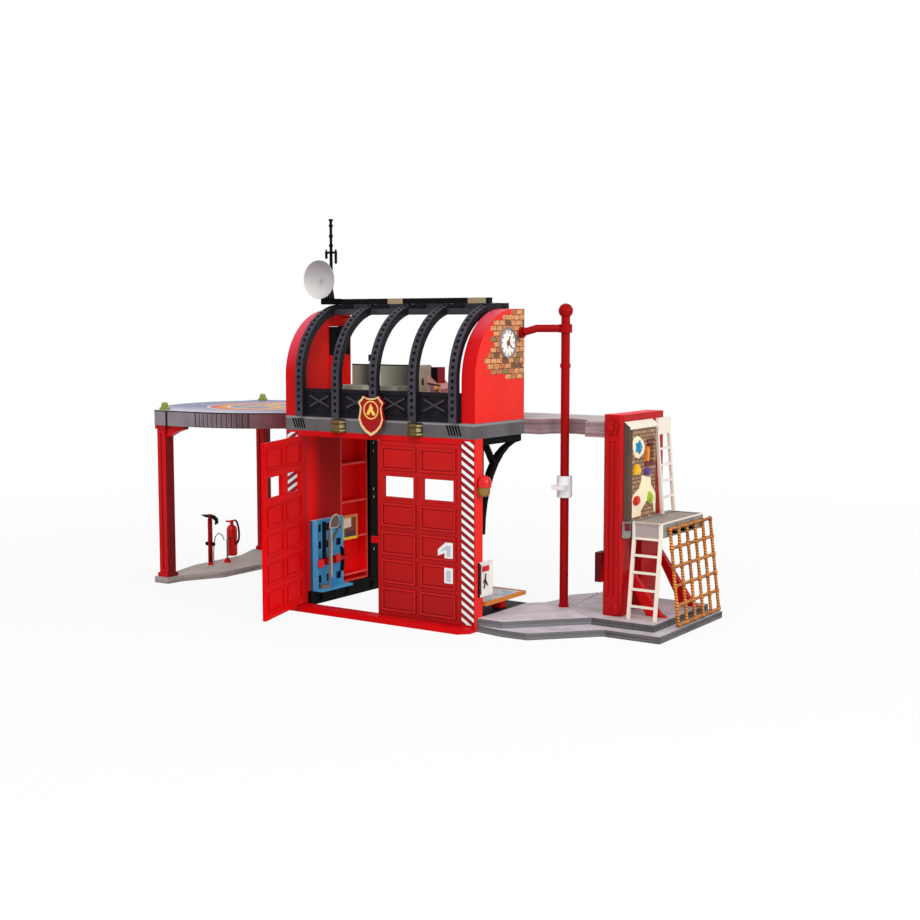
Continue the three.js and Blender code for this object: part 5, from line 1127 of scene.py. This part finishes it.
# Maroon sides on the white number: painted shadow along its edges.
plates("door_number", white, "white_plastic",
       leaf_front, SUNK, NUMBER_HEIGHT, ONE_TOP, ONE_FOOT, body="right_door", sides=maroon)
plates("door_number_core", plastic("number_grey", (186, 196, 204)), "stone_grey_plastic",
       leaf_front, 0.0, CORE_HEIGHT, ONE_CORE_TOP, ONE_CORE_FOOT, body="right_door")


# Emblem on the shield

EMBLEM_Z = 188.6
EMBLEM_RING = 8.3
EMBLEM_BAND = 1.1
EMBLEM_HEIGHT = 0.5
FLAME = (
    (-5.0, -4.4), (-3.6, -0.6), (-2.4, 0.6), (-1.6, 3.6), (0.2, 5.8), (0.8, 3.4), (2.0, 2.2), (2.2, -0.6),
    (3.6, -1.4), (5.0, -3.6), (4.2, -4.8), (1.8, -4.6), (0.6, -2.4), (-0.8, -1.8), (-2.0, -4.4),
)
shield_front = on_front(SHIELD_FACE)
emblem = Build()
outer, inner = [circle(0.0, EMBLEM_Z, radius, 40) for radius in (EMBLEM_RING, EMBLEM_RING - EMBLEM_BAND)]
emblem.ring(outer, inner, shield_front, LIFT, EMBLEM_HEIGHT)
emblem.plate([(u, EMBLEM_Z + v) for u, v in FLAME], shield_front, LIFT, EMBLEM_HEIGHT)
emblem.make("shield_emblem", plastic("emblem_gold", (250, 208, 96), 0.35), "gold_plastic")


# Clock dial

CLOCK = (50.6, 248.0)
TICK_RADIUS = 9.8
TICK_REACH = 1.1
TICK_HALF = 0.4
HANDS = ((62.0, 6.5, 0.8), (-35.0, 8.2, 0.6), (250.0, 4.5, 0.7))
HAND_TAIL = 1.5
TICK_HEIGHT = 0.3
HAND_HEIGHT = 0.6
HUB = (2.2, 0.85)


def bar_shape(cu, cv, angle, back, reach, half, tip):
    """A bar from back to reach along an angle, half wide at its start and tip at its end."""
    du, dv = math.cos(angle), math.sin(angle)
    return [
        (cu - du * back + dv * half, cv - dv * back - du * half),
        (cu + du * reach + dv * tip, cv + dv * reach - du * tip),
        (cu + du * reach - dv * tip, cv + dv * reach + du * tip),
        (cu - du * back - dv * half, cv - dv * back + du * half),
    ]


dial_plane = on_right(DIAL_FACE)
dial = Build()
for k in range(12):
    angle = 2 * math.pi * k / 12
    cu, cv = CLOCK[0] + math.cos(angle) * TICK_RADIUS, CLOCK[1] + math.sin(angle) * TICK_RADIUS
    tick = bar_shape(cu, cv, angle, TICK_REACH, TICK_REACH, TICK_HALF, TICK_HALF)
    dial.plate(tick, dial_plane, LIFT, TICK_HEIGHT)
for turn, reach, half in HANDS:
    hand = bar_shape(*CLOCK, math.radians(turn), HAND_TAIL, reach, half, half * 0.5)
    dial.plate(hand, dial_plane, LIFT, HAND_HEIGHT)
dial.plate(circle(*CLOCK, HUB[0], 20), dial_plane, LIFT, HUB[1])
dial.make("clock_dial", plastic("dial_brown", (124, 66, 26)), "bronze_plastic")


# Dots along the ribs: black discs that stand for the ribs' holes, as painted shade

RIB_CENTRE = (61.7, 216.0)
RIB_OUTER = 67.0
RIB_FRONT = -5.3
RIB_STEP = 42.5
DOT_PITCH = 5.9
DOT_RADIUS = 1.6
DOT_SIDES = 10
DOT_HALF = 0.25
DOT_LOW = 184.5
DOT_LAST = math.radians(88.0)
SHIELD_TOP = 203.0


def rib_point(x, y, z, ny, nz):
    """A point map on a rib's outer face, whose normal is (0, ny, nz)."""
    return lambda u, v, level: (
        (x + u) * MM, (y + nz * v + ny * level) * MM, (z - ny * v + nz * level) * MM,
    )


dots = Build()
for rib in range(5):
    x = (rib - 2) * RIB_STEP
    places = []
    level = RIB_CENTRE[1]
    while level > DOT_LOW:
        places.append((RIB_FRONT, level, -1.0, 0.0))
        level -= DOT_PITCH
    turn = DOT_PITCH / RIB_OUTER
    while turn < DOT_LAST:
        ny, nz = -math.cos(turn), math.sin(turn)
        places.append((RIB_CENTRE[0] + ny * RIB_OUTER, RIB_CENTRE[1] + nz * RIB_OUTER, ny, nz))
        turn += DOT_PITCH / RIB_OUTER
    for y, z, ny, nz in places:
        if rib == 2 and z < SHIELD_TOP:
            continue
        dots.plate(circle(0.0, 0.0, DOT_RADIUS, DOT_SIDES), rib_point(x, y, z, ny, nz), -DOT_HALF, DOT_HALF)
dots.make("rib_dots", black, "charcoal_plastic")


# Crosses on the parapet panels

CROSS_CENTRE = 194.4
CROSS_REACHES = (11.2, 5.0)
CROSS_HALF = 0.95
CROSS_LOW = -0.4
CROSS_HEIGHT = 0.7
CROSS_STEP = 0.1
parapet_front = on_front(box_mm("parapet")[0].y)
reach = math.hypot(*CROSS_REACHES)
crosses = Build()
for bay in range(4):
    for way in (-1, 1):
        angle = math.atan2(CROSS_REACHES[1] * way, CROSS_REACHES[0])
        x = (bay - 1.5) * RIB_STEP
        outline = bar_shape(x, CROSS_CENTRE, angle, reach, reach, CROSS_HALF, CROSS_HALF)
        crosses.plate(outline, parapet_front, CROSS_LOW, CROSS_HEIGHT + CROSS_STEP * way)
cross_grey = plastic("cross_grey", (62, 58, 64), 0.5, 0.4, 0.15)
crosses.make("parapet_crosses", cross_grey, "charcoal_plastic", sides=black)


# Plaster, bars and hold on the climbing wall, and the patch on the landing's clamp

PLASTER_TOP = (
    (95.4, 168.3), (100.1, 166.9), (107.2, 162.5), (110.1, 157.3), (107.5, 151.8), (97.9, 148.2),
    (91.0, 150.6), (87.6, 156.4), (86.6, 162.7), (89.2, 166.4),
)
PLASTER_LOW = (
    (105.2, 133.2), (122.2, 129.8), (122.9, 123.4), (132.2, 114.8), (132.4, 109.1), (132.4, 106.4),
    (132.3, 97.3), (129.4, 98.5), (127.1, 106.4), (115.7, 110.2), (108.8, 105.8), (103.8, 102.6),
    (103.4, 97.6), (86.6, 97.5), (86.6, 106.5), (86.6, 113.6), (91.8, 118.3), (100.5, 121.8),
    (104.0, 127.1),
)
PLASTER_HEIGHT = 0.8
WINDOW_BARS = (
    ((115.0, 163.6), (129.2, 163.9), (129.2, 161.4), (115.6, 161.2)),
    ((111.1, 143.2), (129.8, 142.7), (129.8, 140.4), (111.7, 140.6)),
)
BAR_HEIGHT = 1.2
HOLD_TALL = (
    (115.2, 157.9), (116.4, 155.3), (116.2, 149.0), (115.2, 144.4), (111.0, 145.3), (112.3, 151.4),
    (111.2, 155.3),
)
HOLD_HEIGHT = 2.6
CLAMP_PATCH = ((208.4, 93.8), (213.6, 94.2), (213.6, 87.9), (208.4, 87.4))
PATCH_HEIGHT = 0.4
wall_plane = on_right(WALL_FACE)
plates("wall_plaster", plastic("plaster", (250, 236, 200), 0.7, 0.5, 0.2), "cream_plastic",
       wall_plane, SUNK, PLASTER_HEIGHT, PLASTER_TOP, PLASTER_LOW)
plates("window_bars", maroon, "red_plastic", wall_plane, SUNK, BAR_HEIGHT, *WINDOW_BARS)
plates("tall_hold", orange, "orange_plastic", wall_plane, SUNK, HOLD_HEIGHT, HOLD_TALL)
clamp_front = on_front(box_mm("landing")[0].y)
plates("clamp_patch", maroon, "red_plastic", clamp_front, SUNK, PATCH_HEIGHT, CLAMP_PATCH)


# Marks on the notice board

BOARD_RED = (8.6, 51.8, 19.0, 56.4)
BOARD_BARS = (((13.6, 49.6), (13.2, 44.0)), ((13.2, 45.6), (10.2, 42.0)), ((13.2, 44.0), (16.8, 39.2)),
              ((13.4, 43.6), (11.2, 37.0)))
BOARD_LEFT = (4.6, 32.4, 6.4, 58.6)
BOARD_LINE = 0.65
MARK_HEIGHT = 0.2
board_plane = on_right(BOARD_HIGH.x)
marks = []
for (u0, v0), (u1, v1) in BOARD_BARS:
    angle = math.atan2(v1 - v0, u1 - u0)
    marks.append(bar_shape(u0, v0, angle, 0.0, math.hypot(u1 - u0, v1 - v0), BOARD_LINE, BOARD_LINE))
plates("board_marks", plastic("mark_brown", (60, 44, 40)), "charcoal_plastic",
       board_plane, SUNK, MARK_HEIGHT, *marks, rectangle(*BOARD_LEFT))
plates("board_patch", plastic("board_red", (214, 24, 40)), "red_plastic",
       board_plane, SUNK, MARK_HEIGHT, rectangle(*BOARD_RED))


# Fittings on the cabinet beside the desk

CABINET_SLOT = (28.4, 210.2, 30.6, 216.0)
CABINET_LINE = ((34.6, 212.4), (48.6, 210.8), (48.6, 209.4), (34.6, 210.8))
CABINET_PATCH = (37.6, 203.0, 42.2, 209.6)
SLOT_HEIGHT = 0.25
LINE_HEIGHT = 0.5
PANEL_RISE = 0.3
BALL = (45.4, 28.2, 207.6)
BALL_RADIUS = 2.3
BALL_SHARES = (-1.0, -0.8, -0.45, 0.0, 0.45, 0.8, 1.0)
cabinet_front = on_front(box_mm("sloped_cabinet")[0].y)
fittings = Build()
fittings.plate(rectangle(*CABINET_SLOT), cabinet_front, SUNK, SLOT_HEIGHT)
fittings.plate(CABINET_LINE, cabinet_front, SUNK, LINE_HEIGHT)
fittings.make("cabinet_slots", plastic("slot_maroon", (74, 30, 30)), "charcoal_plastic")
plates("cabinet_panel", plastic("panel_mauve", (170, 120, 150)), "salmon_plastic",
       cabinet_front, SUNK, PANEL_RISE, rectangle(*CABINET_PATCH))
ball = Build()
add_ball(ball, *BALL, BALL_RADIUS, BALL_SHARES, 14)
ball.make("cabinet_ball", plastic("ball_orange", (250, 176, 60), 0.25), "orange_plastic", smooth=True)


# Tools on the rack

BLADE = (
    (28.0, 72.4), (28.6, 77.0), (30.4, 80.6), (34.3, 84.2), (38.7, 85.4), (42.6, 83.4), (44.0, 79.6),
    (43.4, 74.4), (41.0, 71.6), (33.5, 71.6),
)
BLADE_SHRINK = 0.78
BLADE_MIDDLE = (36.4, 78.0)
TOOL_BAR = (18.6, 44.6, 22.2, 79.6)
TOOL_RIGHT = ((57.8, 50.6), (61.6, 47.6), (61.8, 36.0), (60.6, 26.4), (57.6, 26.8), (58.8, 36.4))
BOARD_LEVEL = -88.2
HANDLE = (30.4, 26.0, 31.6, 73.0)
DISCS = ((18.6, 39.4), (31.4, 40.4), (44.6, 42.2))
DISC_RADIUS = 4.0
DISC_FACE = -80.3
DISC_LEVELS = (-0.4, 0.7)
TOOL_LEVELS = (-1.6, 0.2)
RIGHT_LEVELS = (-0.2, 2.2)
HANDLE_LEVELS = (-1.0, 0.0)
BLADE_LEVELS = (-1.2, -0.5)
INNER_BLADE_LEVELS = (-0.8, -0.1)
rack_plane = on_right(RACK_FACE)
plates("coupling_faces", plastic("disc_red", (236, 16, 20), 0.35, 0.2, 0.2), "red_plastic",
       on_right(DISC_FACE), *DISC_LEVELS, *[circle(cu, cv, DISC_RADIUS, 24) for cu, cv in DISCS])
tools = Build()
tools.plate(rectangle(*TOOL_BAR), rack_plane, *TOOL_LEVELS)
tools.plate(TOOL_RIGHT, on_right(BOARD_LEVEL), *RIGHT_LEVELS)
tools.make("rack_bar", black, "charcoal_plastic")
shovel = Build()
shovel.plate(rectangle(*HANDLE), rack_plane, *HANDLE_LEVELS)
shovel.plate(BLADE, rack_plane, *BLADE_LEVELS)
shovel.make("rack_shovel", plastic("shovel_cream", (216, 196, 176)), "cream_plastic")
shrunk = [
    [middle + (value - middle) * BLADE_SHRINK for middle, value in zip(BLADE_MIDDLE, point)]
    for point in BLADE
]
plates("rack_blade", plastic("blade_grey", (104, 88, 84)), "hose_grey_plastic",
       rack_plane, *INNER_BLADE_LEVELS, shrunk)


# Grip on the axe and wire on the stand

AXE_X = -300.0
AXE_Y = 100.0
SLEEVE_RADIUS = 2.5
SLEEVE = (9.5, 56.0)
GRIP_Z = 28.8
GRIP_REACH = 4.4
GRIP_RADIUS = 2.3
GRIP_WIRE = 1.0
WIRE_RADIUS = 0.55
WIRE = ((-312.5, 118.0, 6.4), (-314.6, 120.0, 14.0), (-315.4, 122.0, 24.0), (-313.6, 122.0, 32.5),
        (-308.6, 122.0, 37.2), (-303.2, 122.0, 35.0), (-300.4, 122.0, 30.0))
GRIP_SHARES = (-1.0, -0.75, -0.4, 0.0, 0.4, 0.75, 1.0)
sleeve = Build()
sleeve.tube([at(AXE_X, AXE_Y, z) for z in SLEEVE], SLEEVE_RADIUS * MM, 14)
sleeve.make("axe_sleeve", pole_red, "red_plastic", smooth=True)
grip = Build()
ends = [AXE_X + way * GRIP_REACH for way in (-1, 1)]
for x in ends:
    add_ball(grip, x, AXE_Y, GRIP_Z, GRIP_RADIUS, GRIP_SHARES, 12)
grip.tube([at(x, AXE_Y, GRIP_Z) for x in ends], GRIP_WIRE * MM, 8)
grip.make("axe_grip", black, "charcoal_plastic", smooth=True)
wire = Build()
wire.tube([at(*point) for point in WIRE], WIRE_RADIUS * MM, 8)
wire.make("stand_wire", hose_grey, "hose_grey_plastic", smooth=True)


# Antenna mast

mast_low, mast_high = box_mm("antenna_mast")
MAST = (-89.3, 49.0)
MAST_BASE_TOP = 288.0
MAST_BASE = (-94.0, -79.3)
MAST_FOOT = 8.0
KNOBS = (337.9, 346.7, 356.3)
KNOB_RADIUS = 2.0
CROSS_Z = 331.3
CROSS_REACH = 6.6
CROSS_SHARES = (-1.0, -0.86, -0.72, 0.72, 0.86, 1.0)
CROSS_RADII = mm(0.3, 1.8, 1.1, 1.1, 1.8, 0.3)
PRONG_REACH = 5.7
PRONG_TOP = 334.6
PRONG_LOW = (325.6, 320.8)
PRONG_RADII = mm(1.2, 1.35, 0.4)
mast = Build()
mast.plate(rectangle(MAST_BASE[0], mast_low.y, MAST_BASE[1], mast_high.y),
           lambda u, v, level: (u * MM, v * MM, level * MM), mast_low.z, MAST_BASE_TOP)
stops = [
    (MAST_BASE_TOP - 0.5, 3.0), (MAST_BASE_TOP + MAST_FOOT * 0.5, 2.6), (MAST_BASE_TOP + MAST_FOOT, 1.7),
    (CROSS_Z - 1.0, 1.45),
]
for knob in KNOBS:
    stops += [(knob - 1.6, 1.35), (knob - 0.6, KNOB_RADIUS), (knob + 0.6, KNOB_RADIUS), (knob + 1.6, 1.3)]
stops += [(mast_high.z - 2.4, 1.3), (mast_high.z - 1.2, 2.1), (mast_high.z, 2.1)]
mast.tube([at(*MAST, z) for z, _ in stops], [radius * MM for _, radius in stops], 14)
mast.tube([at(MAST[0] + CROSS_REACH * k, MAST[1], CROSS_Z) for k in CROSS_SHARES], CROSS_RADII, 10)
for way, low in zip((-1, 1), PRONG_LOW):
    x = MAST[0] + way * PRONG_REACH
    mast.tube([at(x, MAST[1], z) for z in (low, CROSS_Z, PRONG_TOP)], PRONG_RADII, 10)
mast_object = mast.make("mast_turned", black, "charcoal_plastic")
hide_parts("antenna_mast")


# Rope net

NET_TOP = (241.5, 89.0, 97.0, 181.0)
NET_BOTTOM = (254.5, 8.5, 89.0, 174.0)
STRANDS = 6
STRAND_RADIUS = 1.45
KNOT_RADIUS = 2.2
CELL_STEPS = 10
KNOT_SHARE = 0.2


def net_point(across, down):
    """A place on the net, by its shares across and down."""
    x, z, front, back = [top + (bottom - top) * down for top, bottom in zip(NET_TOP, NET_BOTTOM)]
    return at(x, front + (back - front) * across, z)


def strand(point_at):
    """A strand that swells into a knot at every crossing."""
    path, radii = [], []
    for cell in range(STRANDS - 1):
        for step in range(CELL_STEPS):
            path.append(point_at((cell + step / CELL_STEPS) / (STRANDS - 1)))
            near = min(step, CELL_STEPS - step) / CELL_STEPS
            swell = max(0.0, 1.0 - near / KNOT_SHARE)
            radii.append((STRAND_RADIUS + (KNOT_RADIUS - STRAND_RADIUS) * swell) * MM)
    path.append(point_at(1.0))
    radii.append(KNOT_RADIUS * MM)
    return path, radii


net = Build()
for index in range(STRANDS):
    share = index / (STRANDS - 1)
    for point_at in (lambda t: net_point(share, t), lambda t: net_point(t, share)):
        path, radii = strand(point_at)
        net.tube(path, radii, 12)
net_object = net.make("net_rope", rope_material(), "orange_plastic", smooth=True)
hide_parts("rope_net")


# Stage, light and camera

FLOOR_REACH = 20.0
FLOOR_CORNERS = ((-1, -1), (1, -1), (1, 1), (-1, 1))
FLOOR_COLOUR = (0.84, 0.84, 0.84, 1.0)
PURE_WHITE = (1.0, 1.0, 1.0, 1.0)
FLOOR_DROP = 0.0002
FLOOR_GLOW = 0.90
FLOOR_NEAR = 0.35
FLOOR_FAR = 1.2
WORLD_LIGHT = 0.55


def seen_rays(nodes):
    """One where a camera, glossy or transmission ray looks, and nothing for the light itself."""
    path = nodes.new("LightPath")
    camera, glossy, through = [
        Field(nodes, path.outputs["Is " + kind + " Ray"]) for kind in ("Camera", "Glossy", "Transmission")
    ]
    return camera | glossy | through


def stage_floor():
    """A pale floor that turns white away from the object and keeps its shadow."""
    mesh = bpy.data.meshes.new("floor")
    mesh.from_pydata([(x * FLOOR_REACH, y * FLOOR_REACH, 0) for x, y in FLOOR_CORNERS], [], [(0, 1, 2, 3)])
    floor = add_object("floor", mesh)
    floor.location.z = -FLOOR_DROP
    material = bpy.data.materials.new("floor_white")
    nodes = Nodes(material)
    diffuse = nodes.new("BsdfDiffuse", {"Color": FLOOR_COLOUR})
    glow = nodes.new("Emission", {"Color": PURE_WHITE, "Strength": 1.0})
    length = nodes.new("VectorMath", {0: nodes.new("TexCoord").outputs["Object"]}, operation="LENGTH")
    fade = Field(nodes, length.outputs["Value"]).ramp(FLOOR_GLOW, 1.0, FLOOR_NEAR, FLOOR_FAR)
    nodes.blend(seen_rays(nodes) * fade, diffuse, glow, "OutputMaterial")
    mesh.materials.append(material)


def world_light():
    """Soft even light, seen as plain white."""
    world = bpy.data.worlds.new("studio")
    bpy.context.scene.world = world
    nodes = Nodes(world)
    soft, seen = [
        nodes.new("Background", {"Color": PURE_WHITE, "Strength": power}) for power in (WORLD_LIGHT, 1.0)
    ]
    nodes.blend(seen_rays(nodes), soft, seen, "OutputWorld")


def area_light(name, place, target, size, power):
    data = bpy.data.lights.new(name, "AREA")
    data.shape = "SQUARE"
    data.size = size
    data.energy = power
    lamp = add_object(name, data)
    lamp.location = place
    lamp.rotation_euler = (Vector(target) - Vector(place)).to_track_quat("-Z", "Y").to_euler()


stage_floor()
world_light()
area_light("key", (0.5, -1.4, 1.5), (-0.05, 0.05, 0.15), 1.0, 18.0)
area_light("side", (1.7, -0.3, 0.8), (0.0, 0.1, 0.15), 0.8, 13.0)

CAMERA_PLACE = (0.7573, -1.0013, 0.2654)
CAMERA_YAW = 33.7
CAMERA_PITCH = 5.55
CAMERA_LENS = 55.24
camera_data = bpy.data.cameras.new("camera")
camera_data.lens = CAMERA_LENS
camera_data.sensor_width = 36.0
camera_data.clip_start = 0.01
camera = add_object("camera", camera_data)
camera.location = CAMERA_PLACE
camera.rotation_euler = (math.radians(90.0 - CAMERA_PITCH), 0.0, math.radians(CAMERA_YAW))
bpy.context.scene.camera = camera
bpy.context.scene.view_settings.view_transform = "Standard"
